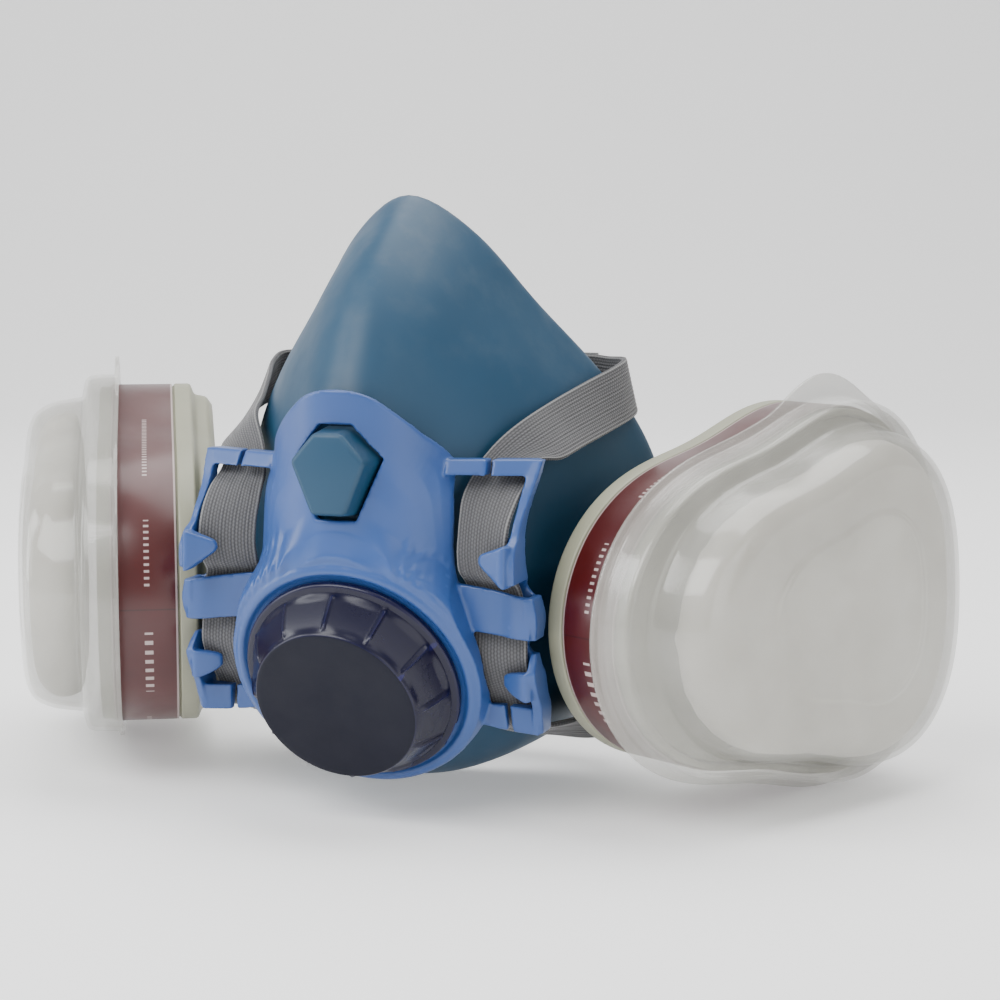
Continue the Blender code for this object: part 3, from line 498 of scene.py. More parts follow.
class Nodes:
    """A short way to write a node tree."""

    def __init__(self, name):
        self.material = bpy.data.materials.new(name)
        self.material.use_nodes = True
        self.tree = self.material.node_tree
        self.shader = self.tree.nodes["Principled BSDF"]
        self.space = self.node("ShaderNodeTexCoord").outputs["Object"]

    def node(self, kind, **settings):
        made = self.tree.nodes.new(kind)
        for key, value in settings.items():
            setattr(made, key, value)
        return made

    def link(self, value, socket):
        if isinstance(value, bpy.types.NodeSocket):
            self.tree.links.new(value, socket)
        else:
            socket.default_value = value

    def math(self, operation, *values, clamp=False):
        made = self.node("ShaderNodeMath", operation=operation, use_clamp=clamp)
        for value, socket in zip(values, made.inputs):
            self.link(value, socket)
        return made.outputs[0]

    def noise(self, scale, detail=3.0, rough=0.55, space=None, stretch=None):
        made = self.node("ShaderNodeTexNoise")
        where = space or self.space
        if stretch:
            mapping = self.node("ShaderNodeMapping")
            self.link(where, mapping.inputs["Vector"])
            mapping.inputs["Scale"].default_value = stretch
            where = mapping.outputs[0]
        self.link(where, made.inputs["Vector"])
        made.inputs["Scale"].default_value = scale
        made.inputs["Detail"].default_value = detail
        made.inputs["Roughness"].default_value = rough
        return made.outputs["Fac"]

    def span(self, value, low, high, to_low=0.0, to_high=1.0):
        made = self.node("ShaderNodeMapRange")
        for socket, v in zip(("Value", "From Min", "From Max", "To Min", "To Max"),
                             (value, low, high, to_low, to_high)):
            self.link(v, made.inputs[socket])
        return made.outputs[0]

    def mix(self, share, a, b):
        made = self.node("ShaderNodeMix", data_type="RGBA")
        self.link(share, made.inputs[0])
        for value, socket in ((a, made.inputs[6]), (b, made.inputs[7])):
            self.link((*value, 1.0) if isinstance(value, tuple) else value, socket)
        return made.outputs[2]

    def bump(self, height, strength, distance, normal=None):
        made = self.node("ShaderNodeBump")
        self.link(height, made.inputs["Height"])
        made.inputs["Strength"].default_value = strength
        made.inputs["Distance"].default_value = distance * MM
        if normal:
            self.link(normal, made.inputs["Normal"])
        return made.outputs[0]

    def set(self, **values):
        for key, value in values.items():
            self.link(value, self.shader.inputs[key.replace("_", " ")])
        return self.material


def moulded(name, colour, roughness, variation=0.08, grain=0.12, grain_scale=1400.0, wear_and_glint=0.0, dust=0.0,
            edge_glint_colour=None, **values):
    """A moulded plastic or rubber: soft tone changes, fine grain, uneven gloss and lighter sharp edges, which
    are partly worn plastic and partly painted highlight.
    """
    n = Nodes(name)
    broad = n.noise(28.0, 4.0)
    deep = tuple(c * (1 - variation) for c in colour)
    pale = tuple(min(c * (1 + variation), 1.0) for c in colour)
    tone = n.mix(n.span(broad, 0.3, 0.7), deep, pale)
    # Sharp edges, found by pointiness, turn lighter: partly worn plastic, partly a painted highlight where
    # the edges catch light.
    if wear_and_glint:
        edge = n.node("ShaderNodeNewGeometry").outputs["Pointiness"]
        share = n.span(edge, 0.52, 0.62, 0.0, wear_and_glint)
        tone = n.mix(share, tone, edge_glint_colour or tuple(min(c * 1.7 + 0.03, 1.0) for c in colour))
    if dust:
        up = n.node("ShaderNodeSeparateXYZ")
        n.link(n.node("ShaderNodeNewGeometry").outputs["Normal"], up.inputs[0])
        patches = n.span(n.noise(160.0, 6.0), 0.45, 0.75, 0.0, dust)
        share = n.math("MULTIPLY", n.span(up.outputs[2], 0.2, 1.0), patches)
        tone = n.mix(share, tone, (0.6, 0.58, 0.54))
    gloss = n.span(n.noise(75.0, 5.0), 0.3, 0.7, roughness * 0.88, min(roughness * 1.14, 1.0))
    fine = n.bump(n.noise(grain_scale, 4.0), grain, 0.05)
    skin = n.bump(n.noise(120.0, 3.0), grain * 0.7, 0.12, normal=fine)
    return n.set(Base_Color=tone, Roughness=gloss, Normal=skin, **values)


def webbing_material(name, dark, pale, edge):
    """Woven elastic: cords along the strap, crossed by fine picks, with a lighter cord near each edge."""
    n = Nodes(name)
    parts = n.node("ShaderNodeSeparateXYZ")
    n.link(n.node("ShaderNodeUVMap").outputs[0], parts.inputs[0])
    along, across = parts.outputs[0], parts.outputs[1]
    cord = n.math("MULTIPLY", across, 1 / CORD_PITCH)
    row = n.math("FLOOR", cord)
    phase = n.math("MULTIPLY", row, math.pi)
    pick = n.math("SINE", n.math("ADD", n.math("MULTIPLY", along, 2 * math.pi / PICK_PITCH), phase))
    off_middle = n.math("SUBTRACT", n.math("FRACT", cord), 0.5)
    cords = n.math("COSINE", n.math("MULTIPLY", off_middle, 2 * math.pi))
    threads = n.noise(1.0, 3.0, space=n.node("ShaderNodeUVMap").outputs[0], stretch=(0.8, 9.0, 1.0))
    lift = n.math("ADD", n.math("MULTIPLY", pick, 0.24), n.math("MULTIPLY", cords, 0.42))
    lift = n.math("ADD", lift, n.math("MULTIPLY", threads, 0.5))
    # The colour follows the weave's height, the same lift that drives the bump: paler on the raised cords and
    # picks, darker in the hollows between them, which is painted shade.
    tone = n.mix(n.span(lift, -0.6, 0.95), dark, pale)
    middle = n.math("ABSOLUTE", n.math("SUBTRACT", across, STRAP_WIDTH / 2))
    border = n.math("MULTIPLY", n.span(middle, 5.75, 5.85), n.span(middle, 6.2, 6.1))
    tone = n.mix(n.math("MULTIPLY", border, 0.3), tone, edge)
    fluff = n.bump(n.noise(2600.0, 4.0), 0.35, 0.06)
    weave = n.bump(lift, 0.65, 0.16, normal=fluff)
    return n.set(Base_Color=tone, Roughness=0.82, Normal=weave, Sheen_Weight=0.35, Sheen_Roughness=0.4,
                 Specular_IOR_Level=0.25)


def felt_material(name, colour, shade):
    n = Nodes(name)
    fibres = n.noise(900.0, 8.0, 0.75)
    tone = n.mix(n.span(n.noise(60.0, 5.0), 0.3, 0.7), shade, colour)
    tone = n.mix(n.span(fibres, 0.55, 0.8, 0.0, 0.25), tone, (0.95, 0.94, 0.9))
    needled = n.node("ShaderNodeTexVoronoi")
    n.link(n.space, needled.inputs["Vector"])
    needled.inputs["Scale"].default_value = 620.0
    pits = n.bump(n.span(needled.outputs["Distance"], 0.0, 0.35), 0.45, 0.12)
    hair = n.bump(fibres, 0.5, 0.12, normal=pits)
    return n.set(Base_Color=tone, Roughness=0.95, Normal=hair, Sheen_Weight=0.5, Specular_IOR_Level=0.15,
                 Subsurface_Weight=0.15, Subsurface_Radius=(1.0, 0.9, 0.8), Subsurface_Scale=0.002)


def carbon_material(name):
    n = Nodes(name)
    cells = n.node("ShaderNodeTexVoronoi")
    n.link(n.space, cells.inputs["Vector"])
    cells.inputs["Scale"].default_value = 750.0
    shade = n.node("ShaderNodeSeparateColor")
    n.link(cells.outputs["Color"], shade.inputs[0])
    tone = n.mix(shade.outputs[0], (0.004, 0.004, 0.004), (0.035, 0.034, 0.033))
    grains = n.bump(n.math("SUBTRACT", 1.0, cells.outputs["Distance"]), 0.9, 0.5)
    return n.set(Base_Color=tone, Roughness=n.span(shade.outputs[1], 0.0, 1.0, 0.35, 0.9), Normal=grains)


def label_material(name, colour, ink):
    """A printed band. Plain bars stand in for its print."""
    n = Nodes(name)
    parts = n.node("ShaderNodeSeparateXYZ")
    n.link(n.node("ShaderNodeUVMap").outputs[0], parts.inputs[0])
    along, level = parts.outputs[0], parts.outputs[1]

    def window(value, low, high, soft=0.12):
        return n.math("MULTIPLY", n.span(value, low, low + soft), n.span(value, high, high - soft))

    def dashes(period, duty, low, high, start, stop):
        step = n.math("MULTIPLY", n.math("FRACT", n.math("DIVIDE", along, period)), period)
        bars = n.math("MULTIPLY", window(step, 0.0, period * duty), window(level, low, high))
        return n.math("MULTIPLY", bars, window(along, start, stop))

    print_ = n.math("ADD", dashes(2.3, 0.45, 15.6, 17.6, -20.0, -4.0),
                    dashes(1.4, 0.45, 16.2, 17.5, 5.0, 20.0))
    print_ = n.math("ADD", print_, dashes(1.3, 0.5, 16.4, 17.6, 32.0, 70.0), clamp=True)
    print_ = n.math("ADD", print_, dashes(1.3, 0.5, 16.4, 17.6, -76.0, -34.0), clamp=True)
    seam = window(along, 0.6, 0.95, 0.08)
    tone = n.mix(n.span(n.noise(90.0, 5.0), 0.3, 0.7), tuple(c * 0.85 for c in colour), colour)
    tone = n.mix(n.math("MULTIPLY", print_, 0.6), tone, ink)
    tone = n.mix(n.math("MULTIPLY", seam, 0.7), tone, tuple(c * 0.3 for c in colour))
    edges = n.math("ADD", window(level, 9.0, 10.5), window(level, 24.6, 26.0))
    tone = n.mix(n.math("MULTIPLY", edges, 0.5), tone, ink)
    skin = n.bump(n.noise(300.0, 4.0), 0.12, 0.05)
    gloss = n.span(n.noise(80.0), 0.3, 0.7, 0.3, 0.42)
    return n.set(Base_Color=tone, Roughness=gloss, Normal=skin, Coat_Weight=0.25, Coat_Roughness=0.2)


def retainer_material(name):
    """Milky clear plastic: about three fifths of the light goes straight through each face of the wall."""
    n = Nodes(name)
    cloud = n.noise(45.0, 4.0)
    tone = n.mix(n.span(cloud, 0.3, 0.7), linear(184, 183, 177), linear(204, 203, 197))
    flow = n.bump(n.noise(70.0, 3.0, stretch=(1.0, 1.0, 0.35)), 0.12, 0.3)
    skin = n.bump(n.noise(900.0, 4.0), 0.05, 0.03, normal=flow)
    alpha = n.span(cloud, 0.3, 0.7, 0.36, 0.42)
    gloss = n.span(n.noise(60.0), 0.3, 0.7, 0.14, 0.22)
    return n.set(Base_Color=tone, Roughness=gloss, Alpha=alpha, Normal=skin, Specular_IOR_Level=0.95,
                 Coat_Weight=0.5, Coat_Roughness=0.1)


LOOKS = {
    "teal_silicone": moulded("teal_silicone", linear(36, 80, 106), 0.46, 0.07, 0.1, wear_and_glint=0.12, dust=0.06,
                             Specular_IOR_Level=0.42, Subsurface_Weight=0.06,
                             Subsurface_Radius=(0.3, 0.7, 1.0), Subsurface_Scale=0.002),
    "blue_nylon": moulded("blue_nylon", linear(60, 95, 152), 0.38, 0.06, 0.08, wear_and_glint=0.2,
                          Subsurface_Weight=0.08, Subsurface_Radius=(0.4, 0.6, 1.0), Subsurface_Scale=0.0015,
                          Coat_Weight=0.18, Coat_Roughness=0.28),
    # The navy's sharp edges turn a brighter indigo: a painted highlight along the cover's ribs and edges.
    "navy_plastic": moulded("navy_plastic", linear(13, 13, 52), 0.28, 0.1, 0.05, wear_and_glint=0.3,
                            edge_glint_colour=linear(62, 62, 140), Specular_IOR_Level=0.35, Coat_Weight=0.05,
                            Coat_Roughness=0.12),
    "cover_face": moulded("cover_face", linear(22, 25, 44), 0.62, 0.08, 0.3, grain_scale=2600.0,
                          Specular_IOR_Level=0.25),
    "dark_plastic": moulded("dark_plastic", (0.02, 0.02, 0.025), 0.45, 0.1, 0.15, wear_and_glint=0.2),
    "flap_silicone": moulded("flap_silicone", (0.72, 0.71, 0.66), 0.4, 0.05, 0.08, Subsurface_Weight=0.2,
                             Subsurface_Radius=(1.0, 0.9, 0.8), Subsurface_Scale=0.002),
    "port_plastic": moulded("port_plastic", (0.045, 0.052, 0.065), 0.42, 0.1, 0.15, wear_and_glint=0.2),
    "gasket_rubber": moulded("gasket_rubber", (0.015, 0.015, 0.015), 0.72, 0.15, 0.3),
    "sage_plastic": moulded("sage_plastic", linear(160, 160, 142), 0.4, 0.06, 0.1, wear_and_glint=0.15,
                            Subsurface_Weight=0.15, Subsurface_Radius=(1.0, 1.0, 0.8),
                            Subsurface_Scale=0.003),
    "brown_label": label_material("brown_label", linear(92, 28, 27), linear(222, 208, 204)),
    "fibre_screen": felt_material("fibre_screen", (0.8, 0.79, 0.75), (0.66, 0.65, 0.6)),
    "carbon_granules": carbon_material("carbon_granules"),
    "clear_retainer": retainer_material("clear_retainer"),
    "particulate_felt": felt_material("particulate_felt", linear(240, 237, 230), linear(222, 217, 207)),
    "grey_elastic": webbing_material("grey_elastic", linear(70, 70, 72), linear(122, 122, 124),
                                     linear(176, 176, 174)),
    "clip_plastic": moulded("clip_plastic", (0.035, 0.038, 0.042), 0.38, 0.1, 0.2, wear_and_glint=0.25),
}


def finish_piece(obj, body, look, node, angle=40.0):
    """Gives a piece its material and the body it moves with, shades it smooth and hides the CAD part it
    stands in for.
    """
    obj.data.materials.clear()
    obj.data.materials.append(LOOKS[look])
    smooth(obj, angle)
    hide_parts(node)
    if body:
        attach(obj, body)
    return obj


# ---- facepiece and yoke


def make_facepiece():
    stations = around(44)
    rings = []
    for radius in (SEAT_HOLE, SEAT_FLAT):
        level = -YOKE_THICKNESS - SKIN_GAP
        rings.append([mirrored(seat_ring_point(FRONT_HALF, t, radius, level), s) for s, t in stations])
    rings.append([mirrored(front_middle(t), s) for s, t in stations])
    for i in range(13):
        rings.append([mirrored(cheek_point(t, i / 12), s) for s, t in stations])
    steps = [(0.0, 0.0), *SEAL_STEPS]
    for i in range(1, 2 * len(SEAL_STEPS) + 1):
        back, inward, _ = spline([(*step, 0.0) for step in steps], i / (2 * len(SEAL_STEPS)))
        rings.append([mirrored(seal_point(t, back, inward), s) for s, t in stations])
    obj = add("facepiece_shell", mesh_from("facepiece_shell", *loft(rings)))
    solidify(obj, SKIN)
    bake(subdivide(obj, 1))
    stud_foot = YOKE_FRONT + YOKE_THICKNESS + STUD_ROOT
    stud_rings = [[(x * size, y, z * size) for x, z in STUD_OUTLINE]
                  for size, y in ((STUD_TAPER, STUD_TOP), (1.0, stud_foot))]
    stud = add("stud", closed_mesh("stud", stud_rings))
    bake(bevel(stud, 1.1, 5))
    boolean(obj, "UNION", stud)
    for side in SIDES:
        place = cartridge_frame(side)
        outer, inner = PORT_LEVEL + 1.5, PORT_LEVEL - BOSS_DEPTH
        profile = ((0.0, outer), (BOSS_RADIUS, outer), (BOSS_RADIUS, inner), (0.0, inner))
        boolean(obj, "UNION", disc("boss", profile, place, 1.2))
        face = cylinder("face", SPOT_FACE_RADIUS, PORT_LEVEL, PORT_LEVEL + 20.0, place)
        bore = cylinder("bore", PORT_BORE, PORT_LEVEL - 20.0, PORT_LEVEL + 9.0, place)
        boolean(obj, "DIFFERENCE", face, bore)
    obj.name = "facepiece_skin"
    return finish_piece(obj, "mask", "teal_silicone", "facepiece", angle=50.0)


LADDER_UPRIGHTS = {
    "upper_arm": (
        (2.1, 37.0, 39.8, 21.4, 24.6), (-1.1, 36.8, 39.4, 19.2, 22.8), (-4.0, 36.7, 38.9, 17.2, 21.0),
        (-6.8, 36.6, 38.5, 14.8, 19.2), (-9.8, 36.6, 38.3, 11.9, 17.0), (-12.8, 36.6, 38.3, 9.6, 15.4),
        (-14.8, 36.6, 38.6, 6.8, 14.4), (-18.0, 36.6, 38.8, 5.0, 13.8), (-22.7, 36.7, 38.9, 5.2, 15.4),
    ),
    "rail": (
        (-13.6, 34.2, 38.5, 11.6, 13.8), (-18.0, 34.2, 38.6, 11.1, 13.5), (-20.4, 34.2, 38.5, 12.2, 14.4),
        (-22.4, 34.2, 38.4, 14.5, 16.6), (-25.0, 34.4, 37.8, 17.1, 19.2), (-28.5, 34.4, 40.9, 17.1, 19.2),
        (-33.0, 34.4, 41.2, 17.3, 19.4), (-37.0, 34.4, 37.9, 16.9, 19.2), (-40.5, 34.4, 40.4, 16.7, 19.0),
        (-45.5, 34.4, 40.6, 19.7, 22.0),
    ),
    "bar_end": (
        (-26.3, 39.1, 40.9, 11.3, 18.4), (-31.0, 39.2, 41.7, 11.5, 18.8), (-35.6, 39.2, 41.2, 12.7, 18.9),
    ),
    "lower_arm": (
        (-38.8, 39.4, 40.6, 15.4, 18.2), (-41.5, 39.4, 41.0, 12.9, 18.8), (-43.5, 39.3, 41.2, 12.2, 20.4),
        (-48.5, 39.3, 41.2, 14.8, 22.6), (-51.0, 39.3, 41.3, 16.4, 24.2), (-57.0, 39.0, 41.0, 18.5, 24.8),
    ),
}
LADDER_BARS = {
    "top_bar": ((20.6, -1.0, 2.3, 13.2, 15.3, 17.2), (38.6, -1.2, 2.2, 19.8, 21.9, 23.8)),
    "middle_bar": (
        (22.8, -34.0, -24.1, 13.6, 12.9, 15.0), (32.0, -34.8, -25.2, 13.2, 13.0, 14.7),
        (37.0, -35.3, -26.0, 12.0, 11.8, 13.8), (40.2, -35.4, -26.5, 11.8, 11.6, 13.9),
    ),
    "bottom_bar": (
        (24.0, -56.0, -51.2, 20.8, 20.0, 22.0), (33.0, -57.2, -51.4, 20.2, 19.3, 22.0),
        (40.2, -57.3, -51.1, 18.2, 17.0, 22.0),
    ),
    "upper_claw": (
        (37.8, -22.9, -14.7, 5.6, 5.8, 7.8), (36.7, -23.3, -14.4, 3.8, 4.2, 7.7),
        (33.8, -21.2, -15.5, 5.2, 5.4, 8.0), (31.2, -19.3, -16.5, 6.4, 6.5, 8.3),
        (30.4, -18.5, -17.4, 7.0, 7.0, 8.2),
    ),
    "lower_claw": (
        (40.2, -48.7, -42.7, 13.4, 12.9, 15.2), (38.8, -49.0, -42.6, 12.6, 12.0, 14.9),
        (35.5, -47.6, -43.0, 13.8, 13.4, 15.6), (33.4, -46.0, -43.7, 14.9, 14.8, 16.2),
    ),
}
LADDER_SLITS = {
    "top_slit": ((28.2, 4.0), (29.3, 4.0), (30.1, -3.0), (29.0, -3.0)),
    "bottom_slit": ((31.9, -49.5), (33.1, -49.5), (34.0, -60.0), (32.8, -60.0)),
}


def refined(sections, steps=4):
    """More sections along a bar, on a smooth curve through the ones given."""
    count = steps * (len(sections) - 1)
    heads = [Vector((*s[:3],)) for s in sections]
    tails = [Vector((*s[3:], 0.0)) if len(s) == 5 else Vector(s[3:]) for s in sections]
    return [(*spline(heads, i / count), *spline(tails, i / count)) for i in range(count + 1)]


def ladder(side):
    pieces = []
    for part, sections in LADDER_UPRIGHTS.items():
        rings = []
        for z, inner, outer, front, back, _ in refined(sections):
            corners = ((inner, front), (outer, front + 0.5), (outer, back), (inner, back))
            rings.append([(side * x, y, z) for x, y in corners])
        pieces.append(add(part, closed_mesh(part, rings)))
    for part, sections in LADDER_BARS.items():
        rings = []
        for x, low, high, front_low, front_high, back in refined(sections):
            lean = back + front_high - front_low if part == "top_bar" else back
            corners = ((front_low, low), (front_high, high), (lean, high), (back, low))
            rings.append([(side * x, y, z) for y, z in corners])
        bar = add(part, closed_mesh(part, rings))
        for slit, outline in LADDER_SLITS.items():
            if slit[:3] == part[:3]:
                boolean(bar, "DIFFERENCE", prism(slit, [(side * x, z) for x, z in outline], 5.0, 40.0))
        pieces.append(bar)
    return pieces


def yoke_skirt(x, z):
    edge = yoke_depth(x, z) + 1.2
    inside = smooth_step((LADDER_TOP + SKIRT_FADE - z) / SKIRT_FADE)
    inside *= smooth_step((z - LADDER_FOOT + SKIRT_FADE) / SKIRT_FADE)
    reach = 14.4 + 7.6 * smooth_step((-42.0 - z) / 12.0)
    return Vector((x + 0.4, edge + inside * max(reach - edge, 0.0), z))


def make_yoke():
    stations = around(60)
    rings = []
    shares = (0.0, 0.08, 0.2, 0.32, 0.44, 0.56, 0.68, 0.8, 0.9, 0.97, 1.0)
    for share in shares:
        ring = []
        for side, t in stations:
            hole = seat_ring_point(YOKE_HALF, t, YOKE_HOLE, 0.0)
            edge = half_outline(YOKE_HALF, t)
            x = hole.x + (edge.x - hole.x) * share
            z = hole.z + (edge.y - hole.z) * share
            ring.append(mirrored(hole if share == 0 else yoke_point(x, z), side))
        rings.append(ring)
    rings.append([mirrored(yoke_skirt(*half_outline(YOKE_HALF, t)), side) for side, t in stations])
    shell = add("yoke_shell", mesh_from("yoke_shell", *loft(rings)))
    bake(solidify(shell, YOKE_THICKNESS))
    grown = [(x * 1.06, (z - 1.0) * 1.06 + 1.0) for x, z in STUD_OUTLINE]
    boolean(shell, "DIFFERENCE", prism("stud_window", grown, -4.0, 12.0))
    lip_profile = ((25.5, -1.0), (25.6, 0.5), (26.6, 1.1), (27.9, 0.4), (28.6, -1.0))
    lip = turned("bezel", lip_profile, valve_frame(), 0.5)
    yoke = join([shell, lip, *ladder(1), *ladder(-1)], "yoke_moulding")
    remesh(yoke, FINE_VOXEL, 5)
    return finish_piece(yoke, "mask", "blue_nylon", "yoke", angle=180.0)


# ---- exhalation valve


def make_valve():
    valve = valve_frame()
    wall = YOKE_THICKNESS + SKIN_GAP
    behind = -wall - SKIN - 0.5
    seat = turned("valve_seat", ((19.7, 0.2), (19.7, -wall + 0.35), (17.9, -wall + 0.35), (17.9, behind),
                                 (19.2, behind), (19.2, behind - 1.6), (15.2, behind - 1.6), (15.2, 0.2)),
                  valve, 0.3)
    boolean(seat, "UNION", cylinder("hub", 3.0, -4.0, -1.2, valve, 48))
    spokes = [block(f"spoke_{i}", (2.0, -0.8, -4.0), (15.8, 0.8, -1.2), valve, math.pi * (i / 2 + 0.25))
              for i in range(4)]
    boolean(seat, "UNION", *spokes)
    boolean(seat, "DIFFERENCE", cylinder("bore", 1.6, -6.0, 1.0, valve, 48))
    finish_piece(seat, "mask", "dark_plastic", "exhalation_seat")

    flap = disc("valve_flap", ((0.0, 1.7), (2.2, 1.7), (16.4, 1.2), (16.4, 0.6), (2.0, 0.6), (1.25, 0.0),
                               (1.25, -5.6), (2.1, -6.0), (1.0, -8.2), (0.0, -8.2)), valve, 0.2)
    finish_piece(flap, "exhalation_flap", "flap_silicone", "exhalation_flap")


def cover_radius(base, height, angle):
    """The cover's skirt: flat panels that each rise to a thin rib, fading into a round rim."""
    sector = 2 * math.pi / COVER_RIBS
    place = (angle / sector) % 1.0
    on = smooth_step((COVER_HEIGHT - 0.5 - height) / 1.6) * smooth_step((height - 2.9) / 1.2)
    flat = base * math.cos(sector / 2) / math.cos((place - 0.5) * sector)
    ramp = 0.5 * place - 0.1
    from_rib = min(place, 1.0 - place) * sector * base
    rib = 0.5 * smooth_step((0.5 - from_rib) / 0.36)
    return base + on * (flat - base * 0.992 + ramp + rib)


def make_cover():
    valve = valve_frame()
    steps = 432
    top = COVER_HEIGHT
    edge = COVER_FACE
    face = [(0.4, top), (4.0, top), (8.0, top), (12.0, top), (edge - 1.6, top), (edge - 0.7, top - 0.02),
            (edge - 0.25, top - 0.12), (edge, top - 0.4), (edge + 0.15, top - 0.8)]
    skirt = [(edge + 0.15 + (22.9 - edge) * f, top - 0.8 - (top - 3.6) * f**1.12)
             for f in (i / 16 for i in range(1, 17))]
    rim = [(23.1, 2.65), (23.6, 2.5), (24.2, 2.4), (COVER_RADIUS - 0.15, 2.15), (COVER_RADIUS, 1.6),
           (COVER_RADIUS, 0.9), (24.5, 0.5), (24.0, 0.4), (22.6, 0.4), (22.2, 1.2), (21.4, 3.6),
           (19.4, top - 4.6), (16.4, top - 1.5), (0.4, top - 1.5)]
    rings = []
    for radius, height in face + skirt + rim:
        ring = []
        for i in range(steps):
            angle = 2 * math.pi * i / steps
            r = cover_radius(radius, height, angle) if (radius, height) in skirt else radius
            ring.append((r * math.cos(angle), r * math.sin(angle), height))
        rings.append(ring)
    cover = add("valve_cover", closed_mesh("valve_cover", rings, valve))
    cuts = []
    for i in range(-2, 3):
        turn = -math.pi / 2 + i * 2 * math.pi / COVER_RIBS
        cuts.append(block(f"outlet_{i + 2}", (19.0, -3.4, -1.0), (27.0, 3.4, 2.2), valve, turn))
    boolean(cover, "DIFFERENCE", *cuts)
    finish_piece(cover, "exhalation_cover", "navy_plastic", "exhalation_cover", angle=50.0)
    cover.data.materials.append(LOOKS["cover_face"])
    inverse = valve.inverted()
    out = valve.to_3x3() @ Vector((0.0, 0.0, 1.0))
    for polygon in cover.data.polygons:
        local = inverse @ polygon.center / MM
        if local.z > top - 0.15 and polygon.normal.dot(out) > 0.9:
            polygon.material_index = 1


# ---- ports and cartridges


def make_port(side, place):
    name = SIDES[side]
    inner = PORT_LEVEL - BOSS_DEPTH - 0.3
    port = turned(f"port_{name}", ((12.4, 5.2), (12.4, -1.9), (19.0, -1.9), (19.0, -4.1), (13.8, -4.1),
                                   (13.8, inner), (17.0, inner), (17.0, inner - 1.4), (10.6, inner - 1.4),
                                   (10.6, 5.2)), place, 0.25)
    lugs = [block(f"lug_{i}", (11.4, -4.2, 2.7), (15.4, 4.2, 4.7), place, 2 * math.pi * i / LUGS)
            for i in range(LUGS)]
    spokes = [block(f"spoke_{i}", (0.0, -0.7, inner - 0.2), (11.4, 0.7, inner + 1.8), place,
                    2 * math.pi * (i + 0.5) / LUGS) for i in range(LUGS)]
    for tool in lugs + spokes:
        bake(bevel(tool, 0.3, 2))
    pin = disc("pin", ((0.0, inner + 1.8), (2.4, inner + 1.8), (2.4, inner), (1.2, inner), (1.2, inner - 3.8),
                       (2.1, inner - 4.2), (1.4, inner - 5.4), (0.0, inner - 5.4)), place, 0.2, 48)
    boolean(port, "UNION", *lugs, *spokes, pin)
    finish_piece(port, "mask", "port_plastic", f"bayonet_port_{name}")

    level = inner - 1.7
    flap = turned(f"port_flap_{name}", ((12.6, level), (12.6, level - 0.6), (1.5, level - 0.6), (1.5, level)),
                  place, 0.2)
    finish_piece(flap, f"inhalation_flap_{name}", "flap_silicone", f"inhalation_flap_{name}")
    gasket = turned(f"gasket_{name}", ((18.4, -0.3), (18.4, -1.6), (15.4, -1.6), (15.4, -0.3)), place, 0.4)
    finish_piece(gasket, "mask", "gasket_rubber", f"port_gasket_{name}")


def label_uv(obj, side):
    """UV in millimetres: round the band from its forward tip, and up the cartridge."""
    layer = obj.data.uv_layers.new(name="UVMap")
    inverse = cartridge_frame(side).inverted()
    for loop in obj.data.loops:
        local = inverse @ obj.data.vertices[loop.vertex_index].co / MM
        angle = math.atan2(local.y, -(side * local.x - BAYONET_OFFSET))
        layer.data[loop.index].uv = (angle * OUTLINE_RADIUS, local.z)


def make_cartridge(side, place):
    name = SIDES[side]
    body = f"cartridge_{name}"
    rim, seat_inset = 3.9, 4.6
    outer = ((9.5, 0.0), (7.4, 1.4), (6.8, 4.4), (rim, 5.4), (rim, 9.4), (seat_inset, 9.6),
             (seat_inset, HOUSING_DEPTH))
    wall_inset = seat_inset + HOUSING_WALL
    inner = ((wall_inset, HOUSING_DEPTH), (wall_inset, 8.0), (8.6, 5.8), (9.4, 2.4))
    profile = rounded(outer + inner, 0.7, steps=3)
    housing = outline_solid(f"housing_{name}", side, profile, place)
    cuts = [cylinder("socket", 13.0, -2.0, 4.0, place)]
    for i in range(LUGS):
        cuts.append(block(f"notch_{i}", (8.0, -5.0, -2.0), (16.2, 5.0, 4.0), place,
                          2 * math.pi * i / LUGS - NOTCH_TURN))
    boolean(housing, "DIFFERENCE", *cuts)
    finish_piece(housing, body, "sage_plastic", f"cartridge_housing_{name}")

    loop = rounded(((3.95, 10.0), (3.95, 25.0), (4.35, 25.0), (4.35, 10.0)), 0.12, steps=2, closed=True)
    rings = [outline_ring(side, inset, level) for inset, level in loop]
    label = add(f"label_{name}", closed_mesh("label", rings, place, hoop=True))
    label_uv(label, side)
    finish_piece(label, body, "brown_label", f"cartridge_label_{name}")

    seat = wall_inset + 0.4
    middle = seat + 30.0
    for part, inset, low, high, look, node in (
        ("inner_felt", seat + 3.0, 6.4, 7.4, "fibre_screen", "inner_screen"),
        ("carbon", seat, 8.4, 23.0, "carbon_granules", "carbon_bed"),
        ("outer_felt", seat, 23.4, 24.4, "fibre_screen", "outer_screen"),
    ):
        profile = rounded(((middle, low), (inset, low), (inset, high), (middle, high)), 0.4, steps=3)
        piece = outline_solid(f"{part}_{name}", side, profile, place)
        finish_piece(piece, body, look, f"{node}_{name}")
    profile = rounded(((middle, 25.0), (seat, 25.0), (seat, 26.6), (middle, 26.6)), 0.4, steps=3)
    lid = outline_solid(f"lid_{name}", side, profile, place)
    slots = []
    for i in range(-3, 4):
        shift = (side * (BAYONET_OFFSET + 3.0), i * 9.0, 0.0)
        slots.append(block(f"slot_{i + 3}", (-26.0, -1.6, 20.0), (26.0, 1.6, 30.0), place, shift=shift))
    boolean(lid, "DIFFERENCE", *slots)
    finish_piece(lid, body, "sage_plastic", f"cartridge_lid_{name}")


